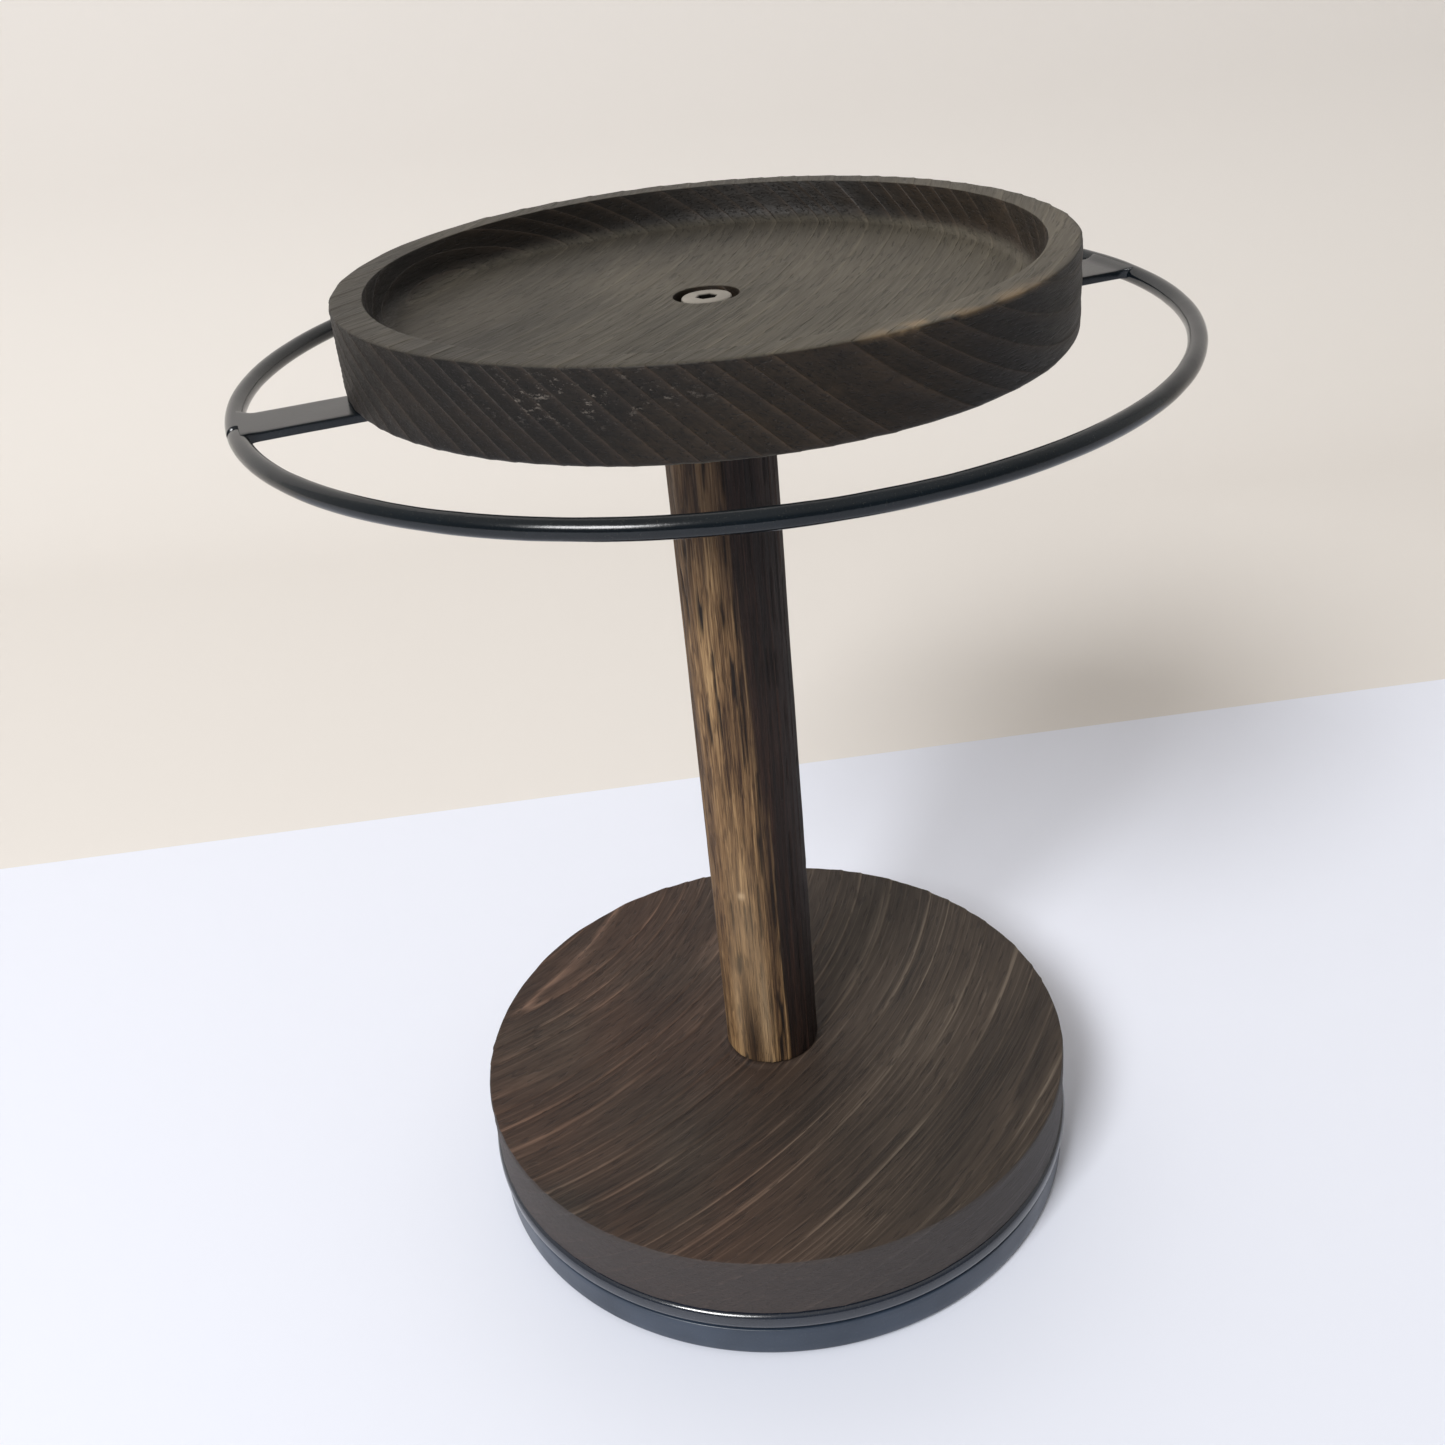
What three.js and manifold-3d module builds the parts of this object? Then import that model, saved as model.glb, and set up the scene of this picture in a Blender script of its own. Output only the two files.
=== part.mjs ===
// A revolving mug tree. A dished wooden tray sits on a wooden post, and a steel hanging ring
// surrounds it on a flat cross strap. The post stands on a round wooden disc in a shallow pan,
// which turns on a ball race inside the steel base pan.
// Millimetres, +Z up. The origin is the middle of the plane that the feet stand on.

import * as THREE from 'three';
import { mergeVertices } from 'three/addons/utils/BufferGeometryUtils.js';
import Module from 'manifold-3d';

const wasm = await Module();
wasm.setup();

// ---------------------------------------------------------------- driving dimensions

// Base: rubber pads, then the still pan whose wall is the lower steel band.
const FOOT_RADIUS = 8;
const FOOT_HEIGHT = 1;
const FOOT_CIRCLE = 85;
const FOOT_COUNT = 4;
const SHEET = 1.25;
const BAND_RADIUS = 102.25;
const BAND_HEIGHT = 11.5;
const BAND_BEND = 1.75;
const TURNING_GAP = 1;

// Turntable pan, with a thick rounded lip around the rebated foot of the wooden disc.
const LIP_RADIUS = 103.25;
const LIP_HEIGHT = 6.5;
const LIP_THICKNESS = 3;
const LIP_FOOT_BEND = 2.5;
const LIP_TOP_ROUNDING = 2;
const DISC_RADIUS = 102.5;
const DISC_THICKNESS = 28.5;
const DISC_REBATE_RADIUS = 100;
const DISC_REBATE_HEIGHT = 5.75;
const DISC_EASING = 0.75;
const DISC_FOOT_CHAMFER = 1.25;

// Post.
const POST_RADIUS = 16.5;
const POST_LENGTH = 250.75;
const POST_EASING = 0.75;

// Cross strap and hanging ring.
const STRAP_WIDTH = 18;
const STRAP_THICKNESS = 2.5;
const STRAP_AZIMUTH = THREE.MathUtils.degToRad(18);
const RING_RADIUS = 129;
const BAR_RADIUS = 2.7;
const RING_DROP = 1.75;
const WELD_GAP = 0.3;

// Tray.
const TRAY_RADIUS = 100;
const TRAY_THICKNESS = 23.5;
const TRAY_EASING = 0.75;
const TRAY_FOOT_EASING = 1.5;
const DISH_RADIUS = 90.8;
const DISH_DEPTH = 11.5;
const DISH_COVE = 5;
const DISH_DRAFT = 2.3;

// M8 bolts with low heads and 5 mm hexagon sockets, their washers and their counterbore.
const BOLT_RADIUS = 4;
const BOLT_HOLE_RADIUS = 4.5;
const BOLT_TIP = 1;
const HEAD_RADIUS = 7;
const HEAD_HEIGHT = 4.25;
const HEAD_EASING = 0.5;
const SOCKET_ACROSS_FLATS = 5;
const SOCKET_DEPTH = 2.5;
const TRAY_BOLT_LENGTH = 35;
const BASE_BOLT_LENGTH = 45;
const WASHER_RADIUS = 8;
const WASHER_THICKNESS = 1.5;
const COUNTERBORE_RADIUS = 9.1;
const HEAD_SINK = 0.5;

// Threaded sleeves in the two ends of the post. Plain bores stand for their threads.
const INSERT_RADIUS = 6;
const INSERT_LENGTH = 20;
const INSERT_BORE_RADIUS = 4.125;
const INSERT_CHAMFER = 0.5;
const INSERT_CLEARANCE = 0.25;
const PILOT_RADIUS = 4.75;
const PILOT_DEPTH = 28;

// Ball race: two rings side by side, with balls in a cage between their grooves.
const RACE_WIDTH = 12;
const RACE_HEIGHT = 8.5;
const RACE_GAP = 2;
const BALL_CIRCLE = 60;
const BALL_RADIUS = 2.375;
const BALL_COUNT = 12;
const GROOVE_RADIUS = 2.6;
const CAGE_THICKNESS = 1.2;
const CAGE_HEIGHT = 7;
const POCKET_RADIUS = 2.75;

// Rivets hold the inner ring to the base pan. Wood screws hold the outer ring to the disc.
const FASTENER_COUNT = 4;
const FASTENER_RADIUS = 2;
const FASTENER_HOLE_RADIUS = 2.25;
const RIVET_CIRCLE = BALL_CIRCLE - 7;
const RIVET_HEAD_RADIUS = 3.75;
const RIVET_HEAD_HEIGHT = 1.5;
const RIVET_TAIL_RADIUS = 3;
const RIVET_TAIL_HEIGHT = 0.75;
const SCREW_CIRCLE = BALL_CIRCLE + 7;
const SCREW_LENGTH = 25;
const SCREW_TIP = 4;
const SCREW_HEAD_RADIUS = 3.9;
const SCREW_HEAD_HEIGHT = 2.25;
const SCREW_HEAD_RIM = 0.3;
const CROSS_LENGTH = 4;
const CROSS_WIDTH = 0.9;
const CROSS_DEPTH = 1.1;
const ACCESS_RADIUS = 5.5;

// Sides of each round shape, by its size.
const LARGE_SIDES = 60;
const RACE_SIDES = 48;
const MEDIUM_SIDES = 24;
const SMALL_SIDES = 12;
const BAR_SIDES = 10;

// How far a cutter runs past the face that it cuts.
const OVERCUT = 1;

// ---------------------------------------------------------------- heights of the stack

const bandFoot = FOOT_HEIGHT;
const bandFloor = bandFoot + SHEET;
const bandTop = bandFoot + BAND_HEIGHT;
const turntableFoot = bandTop + TURNING_GAP;
const discFoot = turntableFoot + SHEET;
const discTop = discFoot + DISC_THICKNESS;
const postTop = discTop + POST_LENGTH;
const trayFoot = postTop + STRAP_THICKNESS;
const trayTop = trayFoot + TRAY_THICKNESS;
const dishFloor = trayTop - DISH_DEPTH;
const headSeat = dishFloor - HEAD_SINK - HEAD_HEIGHT;
const counterboreFloor = headSeat - WASHER_THICKNESS;
const innerRaceTop = bandFloor + RACE_HEIGHT;
const outerRaceFoot = turntableFoot - RACE_HEIGHT;
const ballHeight = (innerRaceTop + outerRaceFoot) / 2;

// ---------------------------------------------------------------- materials

function finish(color, roughness, metalness) {
  return new THREE.MeshStandardMaterial({ color, roughness, metalness });
}

const trayWood = finish(0x4a4239, 0.8, 0);
const postWood = finish(0x6b4f35, 0.75, 0);
const discWood = finish(0x4b3a30, 0.8, 0);
const blackPaint = finish(0x24292e, 0.35, 0.6);
const bluePaint = finish(0x3a4654, 0.35, 0.6);
const boltSteel = finish(0x9a9890, 0.4, 0.9);
const zincSteel = finish(0xb4b4b0, 0.4, 0.9);
const ballSteel = finish(0xd0d2d4, 0.15, 1);
const raceMetal = finish(0xa8abae, 0.45, 0.9);
const cagePlastic = finish(0xd8d6cc, 0.6, 0);
const footRubber = finish(0x1c1c1c, 0.9, 0);

// ---------------------------------------------------------------- building helpers

// A closed three.js geometry as a solid: shared corners merged, slivers of no area dropped.
function solid(geometry) {
  const bare = geometry.clone();
  bare.deleteAttribute('normal');
  bare.deleteAttribute('uv');
  const merged = mergeVertices(bare);
  const corners = merged.index.array;
  const kept = [];
  for (let i = 0; i < corners.length; i += 3) {
    const [a, b, c] = corners.slice(i, i + 3);
    if (a !== b && b !== c && c !== a) {
      kept.push(a, b, c);
    }
  }
  return new wasm.Manifold(new wasm.Mesh({
    numProp: 3,
    vertProperties: new Float32Array(merged.attributes.position.array),
    triVerts: new Uint32Array(kept),
  }));
}

function cut(body, cutters) {
  return cutters.reduce((left, cutter) => left.subtract(solid(cutter)), body);
}

function geometryOf(body) {
  const { vertProperties, triVerts } = body.getMesh();
  const indexed = new THREE.BufferGeometry();
  indexed.setAttribute('position', new THREE.BufferAttribute(vertProperties, 3));
  indexed.setIndex(new THREE.BufferAttribute(triVerts, 1));
  const faceted = indexed.toNonIndexed();
  faceted.computeVertexNormals();
  return faceted;
}

function part(name, body, material) {
  const mesh = new THREE.Mesh(geometryOf(body), material);
  mesh.name = name;
  return mesh;
}

// A turned shape about +Z from an outline of [radius, height] points, listed with the material
// on their left: up the outside and down the inside.
function turned(outline, sides) {
  const points = outline.map(([radius, height]) => new THREE.Vector2(radius, height));
  points.push(points[0].clone());
  const geometry = new THREE.LatheGeometry(points, sides);
  const position = geometry.attributes.position;
  for (let i = 0; i < position.count; i += 1) {
    position.setXYZ(i, position.getX(i), -position.getZ(i), position.getY(i));
  }
  return geometry;
}

// Points on a circle of an outline, angles in degrees, both ends included.
function arc(centreRadius, centreHeight, radius, from, to, steps) {
  return Array.from({ length: steps + 1 }, (_, i) => {
    const angle = THREE.MathUtils.degToRad(from + (to - from) * i / steps);
    return [centreRadius + radius * Math.cos(angle), centreHeight + radius * Math.sin(angle)];
  });
}

function rod(radius, bottom, top, sides) {
  return turned([[0, bottom], [radius, bottom], [radius, top], [0, top]], sides);
}

function sleeve(bore, radius, bottom, top, sides) {
  return turned([[bore, bottom], [radius, bottom], [radius, top], [bore, top]], sides);
}

// The middle of each of a number of places spread evenly round a circle.
function spread(count, radius, firstDegrees) {
  return Array.from({ length: count }, (_, i) => {
    const angle = THREE.MathUtils.degToRad(firstDegrees + 360 * i / count);
    return new THREE.Vector3(radius * Math.cos(angle), radius * Math.sin(angle), 0);
  });
}

function moved(geometry, place) {
  return geometry.clone().translate(place.x, place.y, place.z);
}

// ---------------------------------------------------------------- still base

const feetPlaces = spread(FOOT_COUNT, FOOT_CIRCLE, 45);
const rivetPlaces = spread(FASTENER_COUNT, RIVET_CIRCLE, 0);
const screwPlaces = spread(FASTENER_COUNT, SCREW_CIRCLE, 45);

function foot(index) {
  const pad = part(`foot_${index + 1}`, solid(rod(FOOT_RADIUS, 0, FOOT_HEIGHT, SMALL_SIDES)), footRubber);
  pad.position.copy(feetPlaces[index]);
  return pad;
}

function basePan() {
  const inner = BAND_RADIUS - SHEET;
  const dish = turned([
    [0, bandFoot],
    ...arc(BAND_RADIUS - BAND_BEND, bandFoot + BAND_BEND, BAND_BEND, -90, 0, 2),
    [BAND_RADIUS, bandTop],
    [inner, bandTop],
    [inner, bandFloor],
    [0, bandFloor],
  ], LARGE_SIDES);
  const rivetHole = rod(FASTENER_HOLE_RADIUS, bandFoot - OVERCUT, bandFloor + OVERCUT, SMALL_SIDES);
  const accessHole = rod(ACCESS_RADIUS, bandFoot - OVERCUT, bandFloor + OVERCUT, SMALL_SIDES);
  const cutters = rivetPlaces.map((place) => moved(rivetHole, place));
  cutters.push(accessHole.translate(SCREW_CIRCLE, 0, 0));
  return part('base_pan', cut(solid(dish), cutters), bluePaint);
}

// The arc of a ball groove: upwards in the inner ring's wall, downwards in the outer ring's.
function groove(inInnerRing) {
  const lip = THREE.MathUtils.radToDeg(Math.acos(RACE_GAP / 2 / GROOVE_RADIUS));
  const from = inInnerRing ? 180 + lip : lip;
  const to = inInnerRing ? 180 - lip : -lip;
  return arc(BALL_CIRCLE, ballHeight, GROOVE_RADIUS, from, to, 4);
}

function innerRace() {
  const wall = BALL_CIRCLE - RACE_GAP / 2;
  const ring = turned([
    [wall - RACE_WIDTH, bandFloor],
    [wall, bandFloor],
    ...groove(true),
    [wall, innerRaceTop],
    [wall - RACE_WIDTH, innerRaceTop],
  ], RACE_SIDES);
  const hole = rod(FASTENER_HOLE_RADIUS, bandFloor - OVERCUT, innerRaceTop + OVERCUT, SMALL_SIDES);
  return part('inner_race', cut(solid(ring), rivetPlaces.map((place) => moved(hole, place))), raceMetal);
}

function raceRivet(index) {
  const tailFoot = bandFoot - RIVET_TAIL_HEIGHT;
  const shape = turned([
    [0, tailFoot],
    [RIVET_TAIL_RADIUS, tailFoot],
    [RIVET_TAIL_RADIUS, bandFoot],
    [FASTENER_RADIUS, bandFoot],
    [FASTENER_RADIUS, innerRaceTop],
    [RIVET_HEAD_RADIUS, innerRaceTop],
    [RIVET_HEAD_RADIUS * 0.8, innerRaceTop + RIVET_HEAD_HEIGHT * 0.7],
    [0, innerRaceTop + RIVET_HEAD_HEIGHT],
  ], SMALL_SIDES);
  const rivet = part(`race_rivet_${index + 1}`, solid(shape), zincSteel);
  rivet.position.copy(rivetPlaces[index]);
  return rivet;
}

// ---------------------------------------------------------------- balls and their cage

const ballPlaces = spread(BALL_COUNT, BALL_CIRCLE, 15);

function ballCage() {
  const half = CAGE_THICKNESS / 2;
  const low = ballHeight - CAGE_HEIGHT / 2;
  const high = ballHeight + CAGE_HEIGHT / 2;
  const ring = sleeve(BALL_CIRCLE - half, BALL_CIRCLE + half, low, high, RACE_SIDES);
  const pocket = rod(POCKET_RADIUS, BALL_CIRCLE - RACE_GAP, BALL_CIRCLE + RACE_GAP, SMALL_SIDES);
  pocket.rotateY(Math.PI / 2).translate(0, 0, ballHeight);
  const pockets = ballPlaces.map(({ x, y }) => pocket.clone().rotateZ(Math.atan2(y, x)));
  return part('ball_cage', cut(solid(ring), pockets), cagePlastic);
}

function ball(index) {
  const number = String(index + 1).padStart(2, '0');
  const sphere = part(`ball_${number}`, solid(new THREE.SphereGeometry(BALL_RADIUS, 10, 6)), ballSteel);
  sphere.position.copy(ballPlaces[index]).setZ(ballHeight);
  return sphere;
}

// ---------------------------------------------------------------- fasteners of the turning parts

// A low-headed hexagon socket bolt, its head's seat at height 0 and its shank pointing down.
function socketBolt(name, length) {
  const shape = turned([
    [0, -length],
    [BOLT_RADIUS - BOLT_TIP, -length],
    [BOLT_RADIUS, BOLT_TIP - length],
    [BOLT_RADIUS, 0],
    [HEAD_RADIUS, 0],
    [HEAD_RADIUS, HEAD_HEIGHT - HEAD_EASING],
    [HEAD_RADIUS - HEAD_EASING, HEAD_HEIGHT],
    [0, HEAD_HEIGHT],
  ], MEDIUM_SIDES);
  const cornerRadius = SOCKET_ACROSS_FLATS / Math.sqrt(3);
  const socket = rod(cornerRadius, HEAD_HEIGHT - SOCKET_DEPTH, HEAD_HEIGHT + OVERCUT, 6);
  return part(name, cut(solid(shape), [socket]), boltSteel);
}

function washer(name, seat) {
  const disc = sleeve(BOLT_HOLE_RADIUS, WASHER_RADIUS, seat, seat + WASHER_THICKNESS, MEDIUM_SIDES);
  return part(name, solid(disc), zincSteel);
}

function postInsert(name, foot) {
  const top = foot + INSERT_LENGTH;
  const shape = turned([
    [INSERT_BORE_RADIUS, foot],
    [INSERT_RADIUS - INSERT_CHAMFER, foot],
    [INSERT_RADIUS, foot + INSERT_CHAMFER],
    [INSERT_RADIUS, top - INSERT_CHAMFER],
    [INSERT_RADIUS - INSERT_CHAMFER, top],
    [INSERT_BORE_RADIUS, top],
  ], MEDIUM_SIDES);
  return part(name, solid(shape), zincSteel);
}

// A countersunk wood screw pointing up, with a cross recess in its head.
function raceScrew(index) {
  const shape = turned([
    [0, 0],
    [SCREW_HEAD_RADIUS, 0],
    [SCREW_HEAD_RADIUS, SCREW_HEAD_RIM],
    [FASTENER_RADIUS, SCREW_HEAD_HEIGHT],
    [FASTENER_RADIUS, SCREW_LENGTH - SCREW_TIP],
    [0, SCREW_LENGTH],
  ], SMALL_SIDES);
  const slots = [
    new THREE.BoxGeometry(CROSS_LENGTH, CROSS_WIDTH, 2 * CROSS_DEPTH),
    new THREE.BoxGeometry(CROSS_WIDTH, CROSS_LENGTH, 2 * CROSS_DEPTH),
  ];
  const screw = part(`race_screw_${index + 1}`, cut(solid(shape), slots), zincSteel);
  screw.position.copy(screwPlaces[index]).setZ(outerRaceFoot);
  return screw;
}

// ---------------------------------------------------------------- turntable

function outerRace() {
  const wall = BALL_CIRCLE + RACE_GAP / 2;
  const ring = turned([
    [wall, outerRaceFoot],
    [wall + RACE_WIDTH, outerRaceFoot],
    [wall + RACE_WIDTH, turntableFoot],
    [wall, turntableFoot],
    ...groove(false),
  ], RACE_SIDES);
  const clearance = FASTENER_HOLE_RADIUS - FASTENER_RADIUS;
  const countersink = turned([
    [0, outerRaceFoot - OVERCUT],
    [SCREW_HEAD_RADIUS + clearance, outerRaceFoot - OVERCUT],
    [SCREW_HEAD_RADIUS + clearance, outerRaceFoot + SCREW_HEAD_RIM + clearance],
    [FASTENER_HOLE_RADIUS, outerRaceFoot + SCREW_HEAD_HEIGHT + clearance],
    [FASTENER_HOLE_RADIUS, turntableFoot + OVERCUT],
    [0, turntableFoot + OVERCUT],
  ], SMALL_SIDES);
  return part('outer_race', cut(solid(ring), screwPlaces.map((place) => moved(countersink, place))), raceMetal);
}

function turntablePan() {
  const inside = LIP_RADIUS - LIP_THICKNESS;
  const lipTop = turntableFoot + LIP_HEIGHT;
  const fillet = SHEET / 2;
  const pan = turned([
    [BOLT_HOLE_RADIUS, turntableFoot],
    ...arc(LIP_RADIUS - LIP_FOOT_BEND, turntableFoot + LIP_FOOT_BEND, LIP_FOOT_BEND, -90, 0, 3),
    ...arc(LIP_RADIUS - LIP_TOP_ROUNDING, lipTop - LIP_TOP_ROUNDING, LIP_TOP_ROUNDING, 0, 90, 3),
    [inside + fillet, lipTop],
    [inside, lipTop - fillet],
    [inside, discFoot + fillet],
    [inside - fillet, discFoot],
    [BOLT_HOLE_RADIUS, discFoot],
  ], LARGE_SIDES);
  const hole = rod(FASTENER_HOLE_RADIUS, turntableFoot - OVERCUT, discFoot + OVERCUT, SMALL_SIDES);
  return part('turntable_pan', cut(solid(pan), screwPlaces.map((place) => moved(hole, place))), blackPaint);
}

function baseDisc() {
  const rebateTop = discFoot + DISC_REBATE_HEIGHT;
  const disc = turned([
    [BOLT_HOLE_RADIUS, discFoot],
    [DISC_REBATE_RADIUS - DISC_FOOT_CHAMFER, discFoot],
    [DISC_REBATE_RADIUS, discFoot + DISC_FOOT_CHAMFER],
    [DISC_REBATE_RADIUS, rebateTop],
    [DISC_RADIUS, rebateTop],
    ...arc(DISC_RADIUS - DISC_EASING, discTop - DISC_EASING, DISC_EASING, 0, 90, 2),
    [BOLT_HOLE_RADIUS, discTop],
  ], LARGE_SIDES);
  const screwEnd = outerRaceFoot + SCREW_LENGTH + OVERCUT;
  const pilot = rod(FASTENER_HOLE_RADIUS, discFoot - OVERCUT, screwEnd, SMALL_SIDES);
  return part('base_disc', cut(solid(disc), screwPlaces.map((place) => moved(pilot, place))), discWood);
}

// ---------------------------------------------------------------- post

function post() {
  const seatRadius = INSERT_RADIUS + INSERT_CLEARANCE;
  const seatDepth = INSERT_LENGTH + INSERT_CLEARANCE;
  const shape = turned([
    [0, discTop + PILOT_DEPTH],
    [PILOT_RADIUS, discTop + PILOT_DEPTH],
    [PILOT_RADIUS, discTop + seatDepth],
    [seatRadius, discTop + seatDepth],
    [seatRadius, discTop],
    [POST_RADIUS - POST_EASING, discTop],
    [POST_RADIUS, discTop + POST_EASING],
    [POST_RADIUS, postTop - POST_EASING],
    [POST_RADIUS - POST_EASING, postTop],
    [seatRadius, postTop],
    [seatRadius, postTop - seatDepth],
    [PILOT_RADIUS, postTop - seatDepth],
    [PILOT_RADIUS, postTop - PILOT_DEPTH],
    [0, postTop - PILOT_DEPTH],
  ], MEDIUM_SIDES);
  return part('post', solid(shape), postWood);
}

// ---------------------------------------------------------------- hanging ring and strap

// A flat bar whose ends follow the inside of the ring, with the bolt's hole in its middle.
function crossStrap() {
  const reach = RING_RADIUS - BAR_RADIUS - WELD_GAP;
  const corner = Math.asin(STRAP_WIDTH / 2 / reach);
  const outline = new THREE.Shape();
  outline.absarc(0, 0, reach, -corner, corner, false);
  outline.absarc(0, 0, reach, Math.PI - corner, Math.PI + corner, false);
  outline.closePath();
  const hole = new THREE.Path();
  hole.absarc(0, 0, BOLT_HOLE_RADIUS, 0, 2 * Math.PI, true);
  outline.holes.push(hole);
  const bar = new THREE.ExtrudeGeometry(outline, {
    depth: STRAP_THICKNESS,
    bevelEnabled: false,
    curveSegments: 8,
  });
  const strap = part('cross_strap', solid(bar), blackPaint);
  strap.rotation.z = STRAP_AZIMUTH;
  strap.position.z = postTop;
  return strap;
}

function hangingRing() {
  const bar = arc(RING_RADIUS, trayFoot - RING_DROP, BAR_RADIUS, 0, 360, BAR_SIDES).slice(0, BAR_SIDES);
  return part('hanging_ring', solid(turned(bar, LARGE_SIDES)), blackPaint);
}

// ---------------------------------------------------------------- tray

// A solid round with a flat rim: a drafted wall and a cove lead down to the dish's flat floor.
function tray() {
  const coveRadius = DISH_RADIUS - DISH_DRAFT - DISH_COVE;
  const shape = turned([
    [BOLT_HOLE_RADIUS, trayFoot],
    ...arc(TRAY_RADIUS - TRAY_FOOT_EASING, trayFoot + TRAY_FOOT_EASING, TRAY_FOOT_EASING, -90, 0, 2),
    ...arc(TRAY_RADIUS - TRAY_EASING, trayTop - TRAY_EASING, TRAY_EASING, 0, 90, 2),
    [DISH_RADIUS + TRAY_EASING / 2, trayTop],
    [DISH_RADIUS, trayTop - TRAY_EASING / 2],
    ...arc(coveRadius, dishFloor + DISH_COVE, DISH_COVE, 0, -90, 4),
    [COUNTERBORE_RADIUS, dishFloor],
    [COUNTERBORE_RADIUS, counterboreFloor],
    [BOLT_HOLE_RADIUS, counterboreFloor],
  ], LARGE_SIDES);
  return part('tray', solid(shape), trayWood);
}

// ---------------------------------------------------------------- assembly

const stillBase = new THREE.Group();
stillBase.add(basePan(), innerRace());
for (let i = 0; i < FOOT_COUNT; i += 1) {
  stillBase.add(foot(i));
}
for (let i = 0; i < FASTENER_COUNT; i += 1) {
  stillBase.add(raceRivet(i));
}

const cageAndBalls = new THREE.Group();
cageAndBalls.add(ballCage());
for (let i = 0; i < BALL_COUNT; i += 1) {
  cageAndBalls.add(ball(i));
}

const turntable = new THREE.Group();
turntable.add(outerRace(), turntablePan(), baseDisc(), post(), crossStrap(), hangingRing(), tray());
turntable.add(postInsert('post_insert_bottom', discTop));
turntable.add(postInsert('post_insert_top', postTop - INSERT_LENGTH));
turntable.add(washer('tray_washer', counterboreFloor));
turntable.add(washer('base_washer', turntableFoot - WASHER_THICKNESS));
for (let i = 0; i < FASTENER_COUNT; i += 1) {
  turntable.add(raceScrew(i));
}

const trayBolt = socketBolt('tray_bolt', TRAY_BOLT_LENGTH);
trayBolt.position.z = headSeat;
turntable.add(trayBolt);

const baseBolt = socketBolt('base_bolt', BASE_BOLT_LENGTH);
baseBolt.rotation.x = Math.PI;
baseBolt.position.z = turntableFoot - WASHER_THICKNESS;
turntable.add(baseBolt);

const mugTree = new THREE.Group();
mugTree.add(stillBase, cageAndBalls, turntable);

export default mugTree;
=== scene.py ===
"""The looks of a revolving mug tree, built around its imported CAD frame.

Metres, +Z up, in the CAD's own frame. Each turned piece is one closed mesh made from an outline. The wood
is carved along its growth rings as real geometry, and its material reads the same rings from the mesh, so
the colour lines and the carved lines agree.
"""

import math
from functools import cache

import bpy
import numpy as np
from mathutils import Matrix, Vector


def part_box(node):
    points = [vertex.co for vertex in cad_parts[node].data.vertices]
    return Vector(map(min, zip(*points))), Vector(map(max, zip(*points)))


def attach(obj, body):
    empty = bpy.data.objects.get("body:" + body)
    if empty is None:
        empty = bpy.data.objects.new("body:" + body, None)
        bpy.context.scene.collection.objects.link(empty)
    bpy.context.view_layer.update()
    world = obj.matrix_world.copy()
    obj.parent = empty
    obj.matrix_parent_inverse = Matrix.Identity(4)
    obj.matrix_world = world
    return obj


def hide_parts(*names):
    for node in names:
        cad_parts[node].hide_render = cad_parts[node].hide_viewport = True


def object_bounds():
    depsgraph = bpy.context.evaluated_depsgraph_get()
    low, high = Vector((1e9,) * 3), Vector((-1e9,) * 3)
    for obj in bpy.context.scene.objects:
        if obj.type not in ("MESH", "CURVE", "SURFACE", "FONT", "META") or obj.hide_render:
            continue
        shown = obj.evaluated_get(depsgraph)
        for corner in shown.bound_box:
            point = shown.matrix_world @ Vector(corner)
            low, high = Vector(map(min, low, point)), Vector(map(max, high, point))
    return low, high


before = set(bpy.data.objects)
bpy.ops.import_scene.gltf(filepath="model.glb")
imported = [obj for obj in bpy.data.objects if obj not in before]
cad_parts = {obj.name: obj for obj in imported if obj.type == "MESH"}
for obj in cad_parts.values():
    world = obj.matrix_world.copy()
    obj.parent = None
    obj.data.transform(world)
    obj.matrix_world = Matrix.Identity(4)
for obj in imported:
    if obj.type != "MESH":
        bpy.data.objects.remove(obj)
cad_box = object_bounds()

MM = 0.001
TURNING_BODY = "turntable"
STILL_BODY = "still_base"
CAGE_BODY = "cage_and_balls"


def add_object(name, data):
    made = bpy.data.objects.new(name, data)
    bpy.context.scene.collection.objects.link(made)
    return made


# ---- camera

CAMERA_PLACE = (0.0, -415.73 * MM, 413.58 * MM)
CAMERA_DOWN = 0.5233
CAMERA_YAW = -0.0169
CAMERA_ROLL = -0.0982
CAMERA_LENS_MM = 37.70
SENSOR_MM = 36.0


def add_camera():
    forward = Vector((
        math.sin(CAMERA_YAW) * math.cos(CAMERA_DOWN),
        math.cos(CAMERA_YAW) * math.cos(CAMERA_DOWN),
        -math.sin(CAMERA_DOWN),
    ))
    level = Vector((math.cos(CAMERA_YAW), -math.sin(CAMERA_YAW), 0.0))
    upright = level.cross(forward)
    right = math.cos(CAMERA_ROLL) * level + math.sin(CAMERA_ROLL) * upright
    up = math.cos(CAMERA_ROLL) * upright - math.sin(CAMERA_ROLL) * level
    data = bpy.data.cameras.new("camera")
    data.lens = CAMERA_LENS_MM
    data.sensor_width = SENSOR_MM
    camera = add_object("camera", data)
    turn = Matrix((right, up, -forward)).transposed().to_4x4()
    camera.matrix_world = Matrix.Translation(CAMERA_PLACE) @ turn
    bpy.context.scene.camera = camera


# ---- shader nodes

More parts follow.
